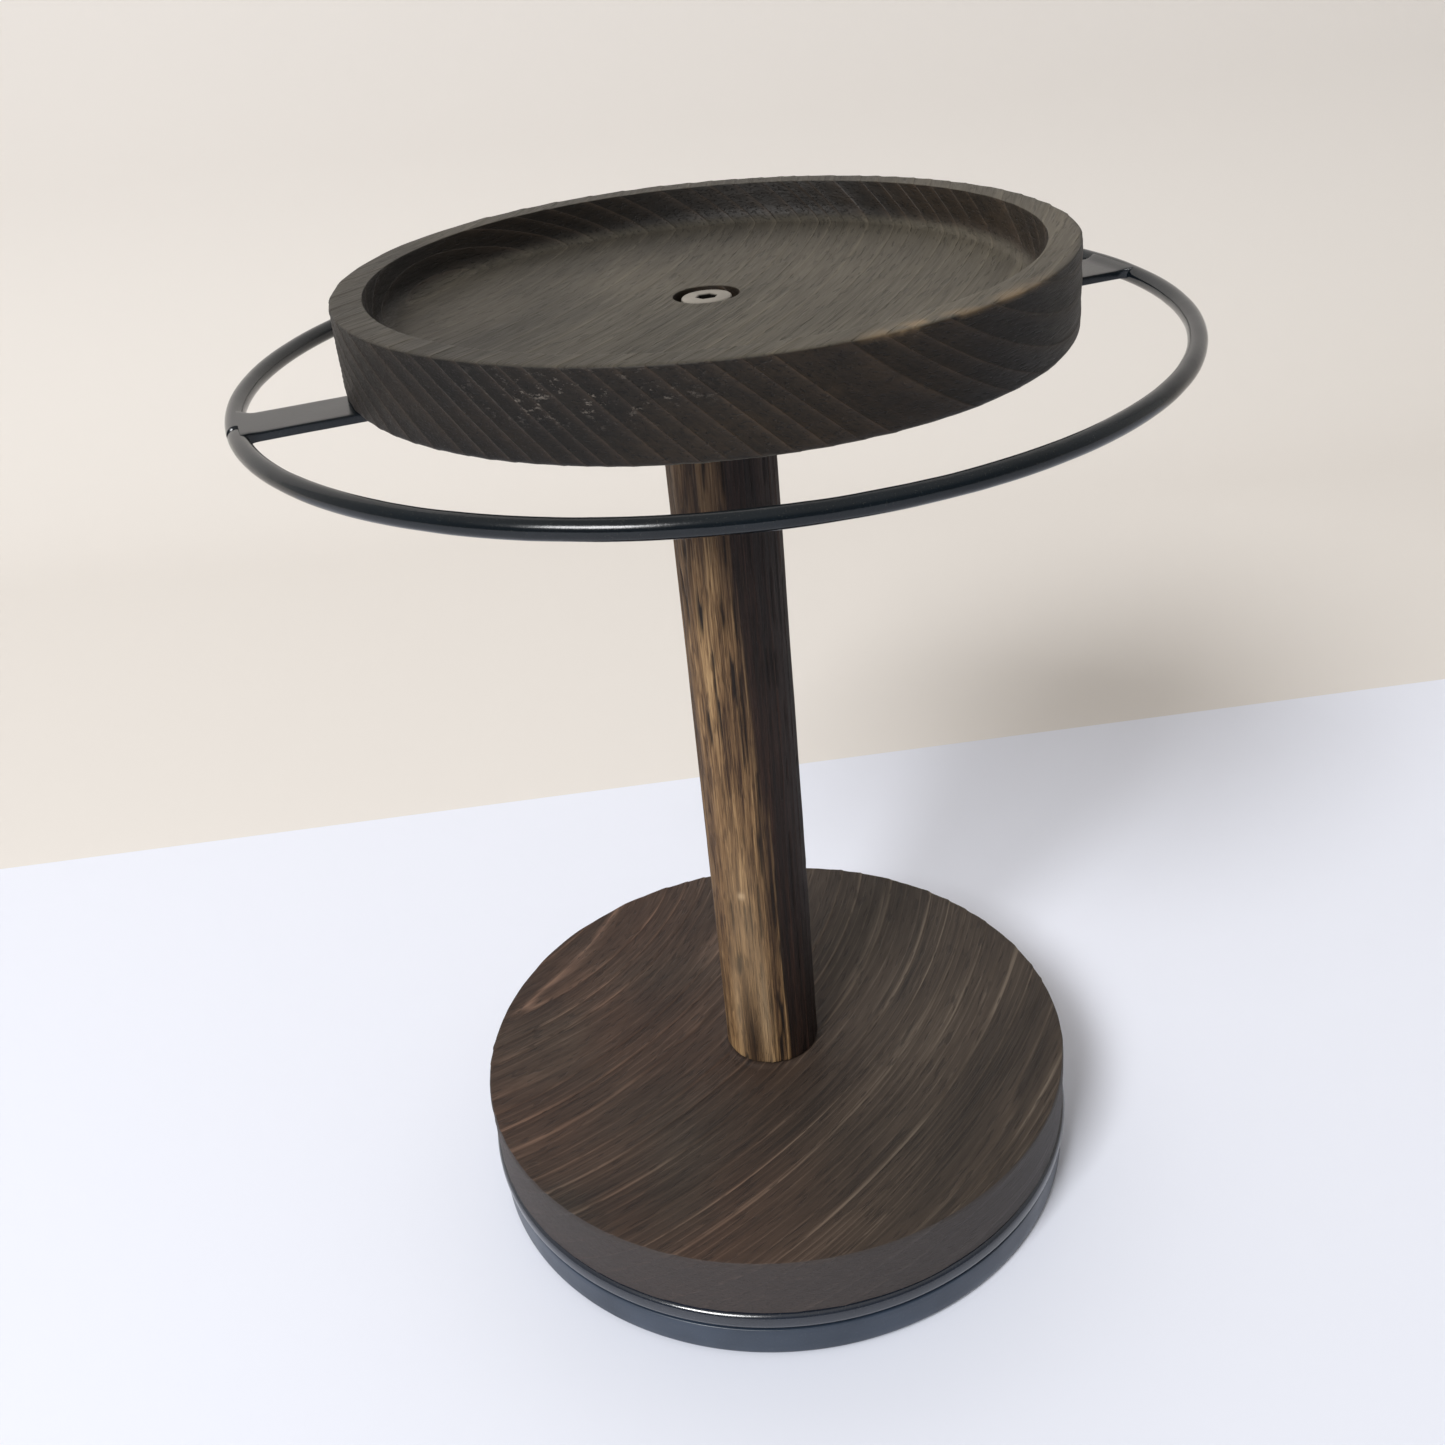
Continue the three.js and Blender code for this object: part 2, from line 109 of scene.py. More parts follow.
class Nodes:
    """A node tree being filled. Each method adds a node or two and returns an output socket."""

    def __init__(self, tree):
        self.tree = tree

    def node(self, kind, inputs, output=0, **settings):
        made = self.tree.nodes.new(kind)
        for name, value in settings.items():
            setattr(made, name, value)
        for key, value in inputs.items():
            if isinstance(value, bpy.types.NodeSocket):
                self.tree.links.new(value, made.inputs[key])
            else:
                made.inputs[key].default_value = value
        return made.outputs[output]

    def attribute(self, name, output="Fac"):
        return self.node("ShaderNodeAttribute", {}, output, attribute_name=name)

    def place(self):
        return self.node("ShaderNodeTexCoord", {}, "Object")

    def stretched(self, vector, factors):
        return self.node("ShaderNodeMapping", {"Vector": vector, "Scale": factors})

    def noise(self, vector, scale, detail=3.0, roughness=0.5, distortion=0.0):
        inputs = {"Vector": vector, "Scale": scale, "Detail": detail, "Roughness": roughness}
        return self.node("ShaderNodeTexNoise", {**inputs, "Distortion": distortion}, "Fac")

    def math(self, operation, first, second=0.5):
        return self.node("ShaderNodeMath", {0: first, 1: second}, operation=operation)

    def product(self, first, *others):
        for other in others:
            first = self.math("MULTIPLY", first, other)
        return first

    def total(self, first, *others):
        for other in others:
            first = self.math("ADD", first, other)
        return first

    def spread(self, value, low, high, to_low=0.0, to_high=1.0):
        """A value taken from one range to another, and clamped to it."""
        inputs = {"Value": value, "From Min": low, "From Max": high, "To Min": to_low, "To Max": to_high}
        return self.node("ShaderNodeMapRange", inputs)

    def mix(self, share, first, second, blend="MIX"):
        made = self.tree.nodes.new("ShaderNodeMix")
        made.data_type = "RGBA"
        made.blend_type = blend
        for socket, value in zip((made.inputs[0], made.inputs[6], made.inputs[7]), (share, first, second)):
            if isinstance(value, bpy.types.NodeSocket):
                self.tree.links.new(value, socket)
            elif isinstance(value, tuple):
                socket.default_value = (*value, 1.0)
            else:
                socket.default_value = value
        return made.outputs[2]

    def ramp(self, value, *stops):
        made = self.tree.nodes.new("ShaderNodeValToRGB")
        self.tree.links.new(value, made.inputs[0])
        elements = made.color_ramp.elements
        while len(elements) < len(stops):
            elements.new(0.5)
        for element, (at, colour) in zip(elements, stops):
            element.position = at
            element.color = (*colour, 1.0)
        return made.outputs[0]

    def bump(self, height, depth, normal=None):
        inputs = {"Height": height, "Distance": depth, "Strength": 1.0}
        if normal is not None:
            inputs["Normal"] = normal
        return self.node("ShaderNodeBump", inputs)


class Finish(Nodes):
    """The nodes of a material, built round its one Principled BSDF."""

    def __init__(self, name, gloss=0.5, **constants):
        self.material = bpy.data.materials.new(name)
        self.material.use_nodes = True
        super().__init__(self.material.node_tree)
        self.shader = self.tree.nodes["Principled BSDF"]
        self.shader.inputs["Specular IOR Level"].default_value = gloss
        for constant, value in constants.items():
            self.shader_input(constant).default_value = value

    def shader_input(self, name):
        """The shader's input of a name such as base_color or ior."""
        return self.shader.inputs["IOR" if name == "ior" else name.replace("_", " ").title()]

    def done(self, **sockets):
        for name, socket in sockets.items():
            self.tree.links.new(socket, self.shader_input(name))
        return self.material


# ---- numbers over many points at once

HASH_FACTORS = (374761393, 668265263, 1013904223)
HASH_STIR = 1274126177
LOW_32_BITS = 0xFFFFFFFF
LOW_16_BITS = 0xFFFF
OCTAVE_SHIFT = 17.3
SEEDS_PER_OCTAVE = 31


def lattice(cell, seed):
    """A repeatable number from 0 to 1 for each row of whole numbers."""
    mixed = cell @ np.array(HASH_FACTORS) + seed * HASH_STIR
    mixed = (mixed & LOW_32_BITS) ^ ((mixed & LOW_32_BITS) >> 13)
    mixed = (mixed * HASH_STIR) & LOW_32_BITS
    return ((mixed ^ (mixed >> 16)) & LOW_16_BITS) / LOW_16_BITS


def noise(points, seed, octaves=1):
    """Smooth value noise from -1 to 1, one unit between its lattice points."""
    total, weight, size = np.zeros(len(points)), 1.0, 0.0
    for octave in range(octaves):
        cell = np.floor(points).astype(np.int64)
        inside = points - cell
        inside = inside * inside * (3 - 2 * inside)
        value = np.zeros(len(points))
        for corner in np.ndindex(2, 2, 2):
            share = np.where(corner, inside, 1 - inside).prod(axis=1)
            value += share * lattice(cell + corner, seed + SEEDS_PER_OCTAVE * octave)
        total += weight * (2 * value - 1)
        size += weight
        points, weight = points * 2 + OCTAVE_SHIFT, weight / 2
    return total / size


def smooth_step(value, low, high):
    share = np.clip((value - low) / (high - low), 0, 1)
    return share * share * (3 - 2 * share)


def from_axis(points):
    """How far each point is from the upright axis that the pieces are turned about."""
    return np.hypot(points[:, 0], points[:, 1])


def azimuth_of(points):
    """Each point's direction from that axis, in degrees from +X."""
    return np.degrees(np.arctan2(points[:, 1], points[:, 0]))


def near(points, azimuth, height, half_arc, half_height):
    """1 in the middle of a patch of a turned piece's surface, falling off to 0 around it.

    azimuth and half_arc are in degrees.
    """
    turn = (azimuth_of(points) - azimuth + 180) % 360 - 180
    return np.exp(-(turn / half_arc) ** 2 - ((points[:, 2] - height) / half_height) ** 2)


# ---- turned meshes

ARC_STEP = 0.9 * MM
FEWEST_ARC_STEPS = 4
FEWEST_SIDES = 80
WOOD_SPACING = 1.0 * MM
WOOD_STEP = 0.9 * MM
PLAIN_STEP = 3.0 * MM
HIDDEN_STEP = 14.0 * MM
ON_AXIS = 10.0          # metres: a step too long to divide the side that runs along the axis
SHARP_ANGLE = math.radians(35)


def corner_arc(before, corner, after, rounding):
    """Points of the arc that rounds a corner of an outline, given the corners before and after it."""
    if rounding == 0:
        return [corner]
    back = (before - corner) / np.linalg.norm(before - corner)
    onward = (after - corner) / np.linalg.norm(after - corner)
    half = math.acos(np.clip(back @ onward, -1, 1)) / 2
    middle = back + onward
    centre = corner + middle / np.linalg.norm(middle) * rounding / math.sin(half)
    start = corner + back * rounding / math.tan(half) - centre
    sweep = (math.pi - 2 * half) * np.sign(back[1] * onward[0] - back[0] * onward[1])
    steps = max(FEWEST_ARC_STEPS, math.ceil(abs(sweep) * rounding / ARC_STEP))
    turns = math.atan2(start[1], start[0]) + sweep * np.linspace(0, 1, steps + 1)
    return [centre + rounding * np.array((math.cos(t), math.sin(t))) for t in turns]


def rounded_outline(corners):
    """Points of a closed outline in the radius-height plane, up the outside and down the inside.

    Each corner is (radius, height, rounding, step), where step is the spacing along the side after it.
    """
    spots = np.array([corner[:2] for corner in corners])
    count = len(corners)
    arcs = []
    for i, (_, _, rounding, _) in enumerate(corners):
        arcs.append(corner_arc(spots[i - 1], spots[i], spots[(i + 1) % count], rounding))
    points = []
    for i, arc in enumerate(arcs):
        points += arc
        start, end = arc[-1], arcs[(i + 1) % count][0]
        pieces = max(1, round(np.linalg.norm(end - start) / corners[i][3]))
        points += [start + (end - start) * k / pieces for k in range(1, pieces)]
    return np.array(points)


def sides_for(radius, spacing):
    """How many vertices a ring has: one on the axis, or the fewest, doubled until they are close enough."""
    if radius == 0:
        return 1
    sides = FEWEST_SIDES
    while 2 * math.pi * radius / sides > spacing:
        sides *= 2
    return sides


def band_faces(first, second, low, high):
    """Faces between two neighbouring rings of first and second vertices, numbered from low and from high.

    Both have the same number, or one has twice the other's, or one is a single vertex on the axis.
    """
    if first == 1:
        return [(low, high + (i + 1) % second, high + i) for i in range(second)]
    if second == 1:
        return [(low + i, low + (i + 1) % first, high) for i in range(first)]
    faces = []
    for i in range(min(first, second)):
        j = (i + 1) % min(first, second)
        left, middle, right = 2 * i, 2 * i + 1, 2 * j
        if first == second:
            faces.append((low + i, low + j, high + j, high + i))
        elif second > first:
            faces.append((low + i, high + middle, high + left))
            faces.append((low + i, low + j, high + middle))
            faces.append((low + j, high + right, high + middle))
        else:
            faces.append((low + left, low + middle, high + i))
            faces.append((low + middle, high + j, high + i))
            faces.append((low + middle, low + right, high + j))
    return faces


def plain_corners(corners):
    """Corners of a small solid outline, which starts and ends on the axis, each with its step added."""
    return [(*corner, PLAIN_STEP) for corner in corners[:-1]] + [(*corners[-1], ON_AXIS)]


def turned_surface(corners, spacing):
    """(vertices, outward directions, faces) of a closed turned shape about +Z, evenly fine at every radius.

    An outline that touches the axis starts and ends on it.
    """
    outline = rounded_outline(corners)
    along = np.roll(outline, -1, axis=0) - np.roll(outline, 1, axis=0)
    outward = np.stack([along[:, 1], -along[:, 0]], axis=1)
    outward /= np.linalg.norm(outward, axis=1)[:, None]
    sides = [sides_for(radius, spacing) for radius, _ in outline]
    vertices, directions, starts = [], [], [0]
    for (radius, height), (out, up), count in zip(outline, outward, sides):
        turns = 2 * math.pi * np.arange(count) / count
        around = np.stack([np.cos(turns), np.sin(turns)], axis=1)
        vertices.append(np.column_stack([radius * around, np.full(count, height)]))
        directions.append(np.column_stack([out * around, np.full(count, up)]))
        starts.append(starts[-1] + count)
    faces = []
    for i, count in enumerate(sides):
        after = (i + 1) % len(sides)
        if count > 1 or sides[after] > 1:
            faces += band_faces(count, sides[after], starts[i], starts[after])
    return np.vstack(vertices), np.vstack(directions), faces


def new_mesh(name, vertices, faces, material, smooth=True):
    mesh = bpy.data.meshes.new(name)
    mesh.from_pydata(np.asarray(vertices).tolist(), [], faces)
    mesh.polygons.foreach_set("use_smooth", [smooth] * len(mesh.polygons))
    mesh.materials.append(material)
    return mesh


def mesh_piece(name, vertices, faces, finish, body):
    """A smooth mesh that rides on a CAD body and replaces the CAD node of its name.

    finish is the function that makes its material.
    """
    piece = add_object(f"{name}_look", new_mesh(name, vertices, faces, finish()))
    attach(piece, body)
    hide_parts(name)
    return piece


def store(piece, name, values):
    """Keeps one number or one vector for each vertex, for the piece's material to read."""
    kind = "FLOAT" if values.ndim == 1 else "FLOAT_VECTOR"
    attribute = piece.data.attributes.new(name, kind, "POINT")
    attribute.data.foreach_set("value" if values.ndim == 1 else "vector", values.astype(np.float32).ravel())


# ---- wood grain

SWAY = 2.2 * MM
SWAY_SIZES = np.array((24, 140, 70)) * MM          # out from the pith, along it and around it
UNEVEN_RINGS = 0.9
UNEVEN_SIZES = np.array((9, 900, 900)) * MM
UNEVEN_SEED = 5
LATE_WOOD_END = 0.88


class Grain:
    """Growth rings and fibres at each point of a piece, from the place of its points in the log.

    ring_radius and along are lengths, and around is the angle about the pith.
    """

    def __init__(self, ring_radius, along, around, ring_spacing, seed):
        place = np.stack([ring_radius, along, around * ring_radius], axis=1)
        sway = SWAY * noise(place / SWAY_SIZES, seed, 2)
        uneven = UNEVEN_RINGS * noise(place / UNEVEN_SIZES, seed + UNEVEN_SEED)
        self.rings = (ring_radius + sway) / ring_spacing + uneven
        self.space = place + np.outer(sway, (1, 0, 0))

    def late_wood(self):
        """0 in early wood, rising to 1 in late wood, with a sharp edge where the next ring begins."""
        phase = self.rings - np.floor(self.rings)
        return phase ** 3 * (1 - smooth_step(phase, LATE_WOOD_END, 1.0))

    def fibres(self, across, along, seed):
        """Noise drawn out along the fibres."""
        return noise(self.space / np.array((across, along, across)), seed, 2)


def bent_log(points, bend_centre, pith_radius, pith_height):
    """Place of points in a log whose level pith bends around an upright axis."""
    plan = points[:, :2] - np.array(bend_centre)
    out = np.hypot(plan[:, 0], plan[:, 1]) - pith_radius
    up = points[:, 2] - pith_height
    along = np.arctan2(plan[:, 1], plan[:, 0]) * math.hypot(*bend_centre)
    return np.hypot(out, up), along, np.arctan2(up, out)


def upright_log(points, pith):
    """Place of points in a log whose pith stands upright."""
    plan = points[:, :2] - np.array(pith)
    return np.hypot(plan[:, 0], plan[:, 1]), points[:, 2], np.arctan2(plan[:, 1], plan[:, 0])


def wooden_piece(name, finish, corners, place_in_log, ring_spacing, seed, carve, marks):
    """A turned wooden piece, carved inwards along its grain.

    carve gives each point's depth from (points, grain), and marks gives named strengths that the material
    reads from (points, outward, grain).
    """
    points, outward, faces = turned_surface(corners, WOOD_SPACING)
    grain = Grain(*place_in_log(points), ring_spacing, seed)
    carved = points - outward * carve(points, grain)[:, None]
    piece = mesh_piece(name, carved, faces, finish, TURNING_BODY)
    store(piece, "grain", grain.space)
    store(piece, "rings", grain.rings)
    for mark, strength in marks(points, outward, grain).items():
        store(piece, mark, strength)


# ---- sizes, from the CAD

def radius_of(node):
    low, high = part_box(node)
    return (high.x - low.x) / 2


def heights_of(node):
    low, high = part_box(node)
    return low.z, high.z


TRAY_FOOT, TRAY_TOP = heights_of("tray")
TRAY_RADIUS = radius_of("tray")
DISH_RADIUS = 90.8 * MM
DISH_DRAFT = 2.3 * MM
DISH_COVE = 5.0 * MM
DISH_FLOOR = TRAY_TOP - 11.5 * MM
COUNTERBORE_RADIUS = 9.1 * MM
COUNTERBORE_FLOOR, TRAY_BOLT_SEAT = heights_of("tray_washer")
BOLT_HOLE_RADIUS = 4.5 * MM

POST_FOOT, POST_TOP = heights_of("post")
POST_RADIUS = radius_of("post")
INSERT_RADIUS = radius_of("post_insert_top")
LOWER_INSERT_END = heights_of("post_insert_bottom")[1]
UPPER_INSERT_START = heights_of("post_insert_top")[0]

DISC_FOOT, DISC_TOP = heights_of("base_disc")
DISC_RADIUS = radius_of("base_disc")
REBATE_RADIUS = 100.0 * MM
REBATE_HEIGHT = 5.75 * MM


# ---- wooden tray

TRAY_BEND_CENTRE = (-319.7 * MM, 142.4 * MM)
TRAY_PITH_RADIUS = 182 * MM
TRAY_PITH_HEIGHT = 118 * MM
TRAY_RING_SPACING = 4.6 * MM
TRAY_RING_DEPTH = 0.16 * MM
TRAY_WALL_DEPTH = 0.16 * MM         # more on the wall, which is rougher
TRAY_FLOOR_SANDING = 0.08 * MM      # less on the dish's floor, which is smoother
TRAY_FIBRE_DEPTH = 0.10 * MM
TRAY_SEED = 11
WORN_SEED = 72
TRAY_FIBRE_SEED = 73
SHADE_SEED = 74

# patches of the surface, each as near() takes it
CHIP_CLUSTER = (-108, 313 * MM, 13, 5 * MM)
LONE_CHIPS = ((-62, 319 * MM, 4, 1.5 * MM), (-171, 318.5 * MM, 4, 1.5 * MM))
WORN_SPOT = (-62, TRAY_TOP, 7, 3 * MM)
FAINTER_WORN_SPOT = (-44, TRAY_TOP, 8, 3 * MM)

# the stretches over which the painted shade comes in, across the tray
LEFT_SHADE = (-85 * MM, 5 * MM)
BACK_SHADE = (15 * MM, 85 * MM)
WALL_SHADE = (30 * MM, 75 * MM)
SHADE_BLOTCHES = 30 * MM

BOLT_CLEARING = (9.5 * MM, 13 * MM)


def tray_corners():
    return [
        (TRAY_RADIUS, TRAY_FOOT, 1.5 * MM, WOOD_STEP),
        (TRAY_RADIUS, TRAY_TOP, 0.9 * MM, WOOD_STEP),
        (DISH_RADIUS, TRAY_TOP, 0.5 * MM, WOOD_STEP),
        (DISH_RADIUS - DISH_DRAFT, DISH_FLOOR, DISH_COVE, WOOD_STEP),
        (COUNTERBORE_RADIUS, DISH_FLOOR, 0.3 * MM, WOOD_STEP),
        (COUNTERBORE_RADIUS, COUNTERBORE_FLOOR, 0, WOOD_STEP),
        (BOLT_HOLE_RADIUS, COUNTERBORE_FLOOR, 0, WOOD_STEP),
        (BOLT_HOLE_RADIUS, TRAY_FOOT, 0, PLAIN_STEP),
    ]


def on_outer_wall(points, radius):
    """1 on the outer wall of a piece of this radius, and 0 a little way in from it."""
    return smooth_step(from_axis(points), radius - 1.5 * MM, radius - 0.4 * MM)


def tray_chips(points):
    """Where small chips are broken from the outer wall, most of them in one cluster under the rim."""
    lone = sum(near(points, *chip) for chip in LONE_CHIPS)
    return np.clip(near(points, *CHIP_CLUSTER) + 0.7 * lone, 0, 1) * on_outer_wall(points, TRAY_RADIUS)


def painted_tray_shade(points):
    """Painted shade: the rim's shadow over the left and back of the dish, and the shaded right of the outer
    wall.
    """
    x, y, _ = points.T
    # painted shadow of the rim on the dish's left and back, and painted shade on the outer wall's right
    left = 1 - smooth_step(x + 0.25 * y, *LEFT_SHADE)
    back = smooth_step(y - 0.3 * x, *BACK_SHADE)
    right_wall = smooth_step(x, *WALL_SHADE) * on_outer_wall(points, TRAY_RADIUS)
    blotches = 0.25 * noise(points / SHADE_BLOTCHES, SHADE_SEED, 2)
    return np.clip(np.max([left, 0.9 * back, right_wall], axis=0) + blotches, 0, 1)


def tray_wear(points):
    """Where handling has rubbed the rim down to paler wood."""
    on_rim = smooth_step(points[:, 2], TRAY_TOP - 2 * MM, TRAY_TOP - 0.2 * MM)
    on_edge = smooth_step(from_axis(points), TRAY_RADIUS - 6 * MM, TRAY_RADIUS - 1 * MM)
    ragged = smooth_step(noise(points / (5 * MM), WORN_SEED, 2), -0.5, 0.3)
    patch = near(points, *WORN_SPOT) + 0.6 * near(points, *FAINTER_WORN_SPOT)
    return on_rim * on_edge * ragged * np.clip(patch, 0, 1)


def carve_tray(points, grain):
    wall = on_outer_wall(points, TRAY_RADIUS)
    floor = 1 - smooth_step(points[:, 2], DISH_FLOOR + 1 * MM, DISH_FLOOR + 5 * MM)
    depth = (TRAY_RING_DEPTH + TRAY_WALL_DEPTH * wall - TRAY_FLOOR_SANDING * floor) * (1 - grain.late_wood())
    depth += TRAY_FIBRE_DEPTH * (grain.fibres(2.2 * MM, 26 * MM, TRAY_FIBRE_SEED) + 1)
    return depth * smooth_step(from_axis(points), *BOLT_CLEARING)


def steepness(outward):
    """0 on level faces, 1 on upright ones."""
    return 1 - smooth_step(np.abs(outward[:, 2]), 0.45, 0.95)


def tray_marks(points, outward, _):
    return {
        "chips": tray_chips(points),
        "wear": tray_wear(points),
        "shade": painted_tray_shade(points),
        # upright faces, which the material darkens as painted shade
        "walls": steepness(outward),
    }


def add_tray():
    wooden_piece(
        "tray",
        finish=tray_wood,
        corners=tray_corners(),
        place_in_log=lambda points: bent_log(points, TRAY_BEND_CENTRE, TRAY_PITH_RADIUS, TRAY_PITH_HEIGHT),
        ring_spacing=TRAY_RING_SPACING, seed=TRAY_SEED, carve=carve_tray, marks=tray_marks,
    )


# ---- wooden post

POST_PITH = (60 * MM, 80 * MM)
POST_RING_SPACING = 3.4 * MM
POST_RING_DEPTH = 0.28 * MM
POST_FIBRE_DEPTH = 0.16 * MM
FISSURE_DEPTH = 0.45 * MM
POST_SEED = 12
FISSURE_SEED = 81
DARK_EDGE_SEED = 82
POST_FIBRE_SEED = 83
PAINTED_SHADOW_SEED = 84

# azimuths in degrees
DARK_SIDE_AT_FOOT = -71
DARK_SIDE_LEAN = -24
DARK_SIDE_END = (60, 100)
DARK_LEFT = (148, 168)

# patches of the surface, each as near() takes it
DARK_PATCH = (-115, 52 * MM, 11, 22 * MM)
PALE_SPECK = (-113, 116 * MM, 4, 1.3 * MM)
LEFT_PALE_STRIPE = (-133, 66 * MM, 7, 22 * MM)
RIGHT_PALE_STRIPE = (-97, 64 * MM, 7, 24 * MM)
PALE_MIDDLE = (-112, 100 * MM, 20, 32 * MM)

# the heights over which the tray's painted shadow comes in at the post's top
PAINTED_TRAY_SHADOW = (212 * MM, 246 * MM)
RAGGED_EDGE_WIDTH = 2.4 * MM
RAGGED_EDGE_LENGTH = 60 * MM


def post_corners():
    return [
        (0, LOWER_INSERT_END, 0, WOOD_STEP),
        (INSERT_RADIUS, LOWER_INSERT_END, 0, PLAIN_STEP),
        (INSERT_RADIUS, POST_FOOT, 0, WOOD_STEP),
        (POST_RADIUS, POST_FOOT, 1.2 * MM, WOOD_STEP),
        (POST_RADIUS, POST_TOP, 0.75 * MM, WOOD_STEP),
        (INSERT_RADIUS, POST_TOP, 0, PLAIN_STEP),
        (INSERT_RADIUS, UPPER_INSERT_START, 0, WOOD_STEP),
        (0, UPPER_INSERT_START, 0, ON_AXIS),
    ]


def dark_side_start(points):
    """The azimuth at which the post's dark side begins, which leans over along the post."""
    share = (points[:, 2] - POST_FOOT) / (POST_TOP - POST_FOOT)
    return DARK_SIDE_AT_FOOT + DARK_SIDE_LEAN * share


def post_fissures(points, grain):
    """Narrow splits between the post's fibres, most of them beside its dark side."""
    beside = np.exp(-((azimuth_of(points) - dark_side_start(points) + 9) / 17) ** 2)
    splits = smooth_step(grain.fibres(1.5 * MM, 22 * MM, FISSURE_SEED) + 0.24 * beside, 0.36, 0.60)
    return splits * on_outer_wall(points, POST_RADIUS)


def post_dark(points, grain):
    """How much each point of the post is darkened: its darker side, a low patch and its left, and painted
    shade, which is the tray's shadow over its top and a contact shade at its foot.
    """
    azimuth, height = azimuth_of(points), points[:, 2]
    ragged_azimuth = azimuth + 12 * grain.fibres(RAGGED_EDGE_WIDTH, RAGGED_EDGE_LENGTH, DARK_EDGE_SEED)
    dark_side = smooth_step(ragged_azimuth - dark_side_start(points), -7, 7)
    dark_side *= 1 - smooth_step(azimuth, *DARK_SIDE_END)
    ragged_height = height + 30 * MM * grain.fibres(RAGGED_EDGE_WIDTH, RAGGED_EDGE_LENGTH, PAINTED_SHADOW_SEED)
    # painted shadow of the tray over the post's top
    top = 0.6 * smooth_step(ragged_height, *PAINTED_TRAY_SHADOW)
    patch = 0.95 * near(points, *DARK_PATCH)
    left = 0.5 * smooth_step(-azimuth, *DARK_LEFT)
    # painted contact shade in a thin band at the post's foot, where it meets the disc
    foot = 0.8 * (1 - smooth_step(height, POST_FOOT, POST_FOOT + 1.5 * MM))
    return np.max([dark_side, top, patch, left, foot], axis=0)


def post_pale(points):
    """Where the post is rubbed pale: a small speck, two stripes at its foot, and a patch above them."""
    stripes = 0.3 * near(points, *LEFT_PALE_STRIPE) + 0.4 * near(points, *RIGHT_PALE_STRIPE)
    pale = 0.8 * near(points, *PALE_SPECK) + stripes + 0.25 * near(points, *PALE_MIDDLE)
    return np.clip(pale, 0, 0.8) * on_outer_wall(points, POST_RADIUS)


def carve_post(points, grain):
    depth = POST_RING_DEPTH * (1 - grain.late_wood())
    depth += POST_FIBRE_DEPTH * (grain.fibres(1.6 * MM, 20 * MM, POST_FIBRE_SEED) + 1)
    return depth * on_outer_wall(points, POST_RADIUS) + FISSURE_DEPTH * post_fissures(points, grain)


def post_marks(points, _, grain):
    return {
        "fissures": post_fissures(points, grain),
        "darkness_and_painted_shade": post_dark(points, grain),
        "pale": post_pale(points),
    }


def add_post():
    wooden_piece(
        "post",
        finish=post_wood,
        corners=post_corners(),
        place_in_log=lambda points: upright_log(points, POST_PITH),
        ring_spacing=POST_RING_SPACING, seed=POST_SEED, carve=carve_post, marks=post_marks,
    )


# ---- wooden base disc

DISC_BEND_CENTRE = (-184 * MM, 139 * MM)
DISC_PITH_HEIGHT = 340 * MM
DISC_RING_SPACING = 7.0 * MM
DISC_RING_DEPTH = 0.42 * MM
DISC_FIBRE_DEPTH = 0.14 * MM
DISC_SEED = 13
DISC_FIBRE_SEED = 91
RED_SEED = 92
RED_BLOTCHES = 46 * MM


def disc_corners():
    return [
        (REBATE_RADIUS, DISC_FOOT, 1.25 * MM, WOOD_STEP),
        (REBATE_RADIUS, DISC_FOOT + REBATE_HEIGHT, 0, WOOD_STEP),
        (DISC_RADIUS, DISC_FOOT + REBATE_HEIGHT, 0.4 * MM, WOOD_STEP),
        (DISC_RADIUS, DISC_TOP, 0.75 * MM, WOOD_STEP),
        (BOLT_HOLE_RADIUS, DISC_TOP, 0, PLAIN_STEP),
        (BOLT_HOLE_RADIUS, DISC_FOOT, 0, HIDDEN_STEP),
    ]


def carve_disc(points, grain):
    top = smooth_step(points[:, 2], DISC_TOP - 2 * MM, DISC_TOP - 0.5 * MM)
    shown = np.maximum(top, 0.45 * on_outer_wall(points, DISC_RADIUS))
    depth = DISC_RING_DEPTH * (1 - grain.late_wood())
    depth += DISC_FIBRE_DEPTH * (grain.fibres(1.8 * MM, 22 * MM, DISC_FIBRE_SEED) + 1)
    return depth * shown * smooth_step(from_axis(points), POST_RADIUS, POST_RADIUS + 1.5 * MM)


def disc_marks(points, outward, _):
    blotches = smooth_step(noise(points / RED_BLOTCHES, RED_SEED, 2), -0.9, 0.1)
    redness = blotches * (1 - smooth_step(points[:, 0], -50 * MM, 50 * MM))
    return {"red": redness, "walls": steepness(outward)}


def add_base_disc():
    wooden_piece(
        "base_disc",
        finish=disc_wood,
        corners=disc_corners(),
        place_in_log=lambda points: bent_log(points, DISC_BEND_CENTRE, 0, DISC_PITH_HEIGHT),
        ring_spacing=DISC_RING_SPACING, seed=DISC_SEED, carve=carve_disc, marks=disc_marks,
    )


# ---- steel ring and strap

RING_FOOT, RING_TOP = heights_of("hanging_ring")
BAR_RADIUS = (RING_TOP - RING_FOOT) / 2
RING_RADIUS = radius_of("hanging_ring") - BAR_RADIUS
RING_STATIONS = 720
RING_SEED = 101
BAR_SIDES = 32
BAR_UNEVENNESS = 0.12 * MM
BAR_PATCHES = 11 * MM
BAR_PATCH_SPREAD = 3 * MM
SEAM_AZIMUTH = math.radians(199.4)
SEAM_HALF_WIDTH = 0.35 * MM
SEAM_DEPTH = 0.6 * MM
SEAM_STEP = 0.12 * MM
SEAM_REACH = 5 * MM
SEAM_DROP = 0.5 * MM
SEAM_DROP_REACH = 9 * MM

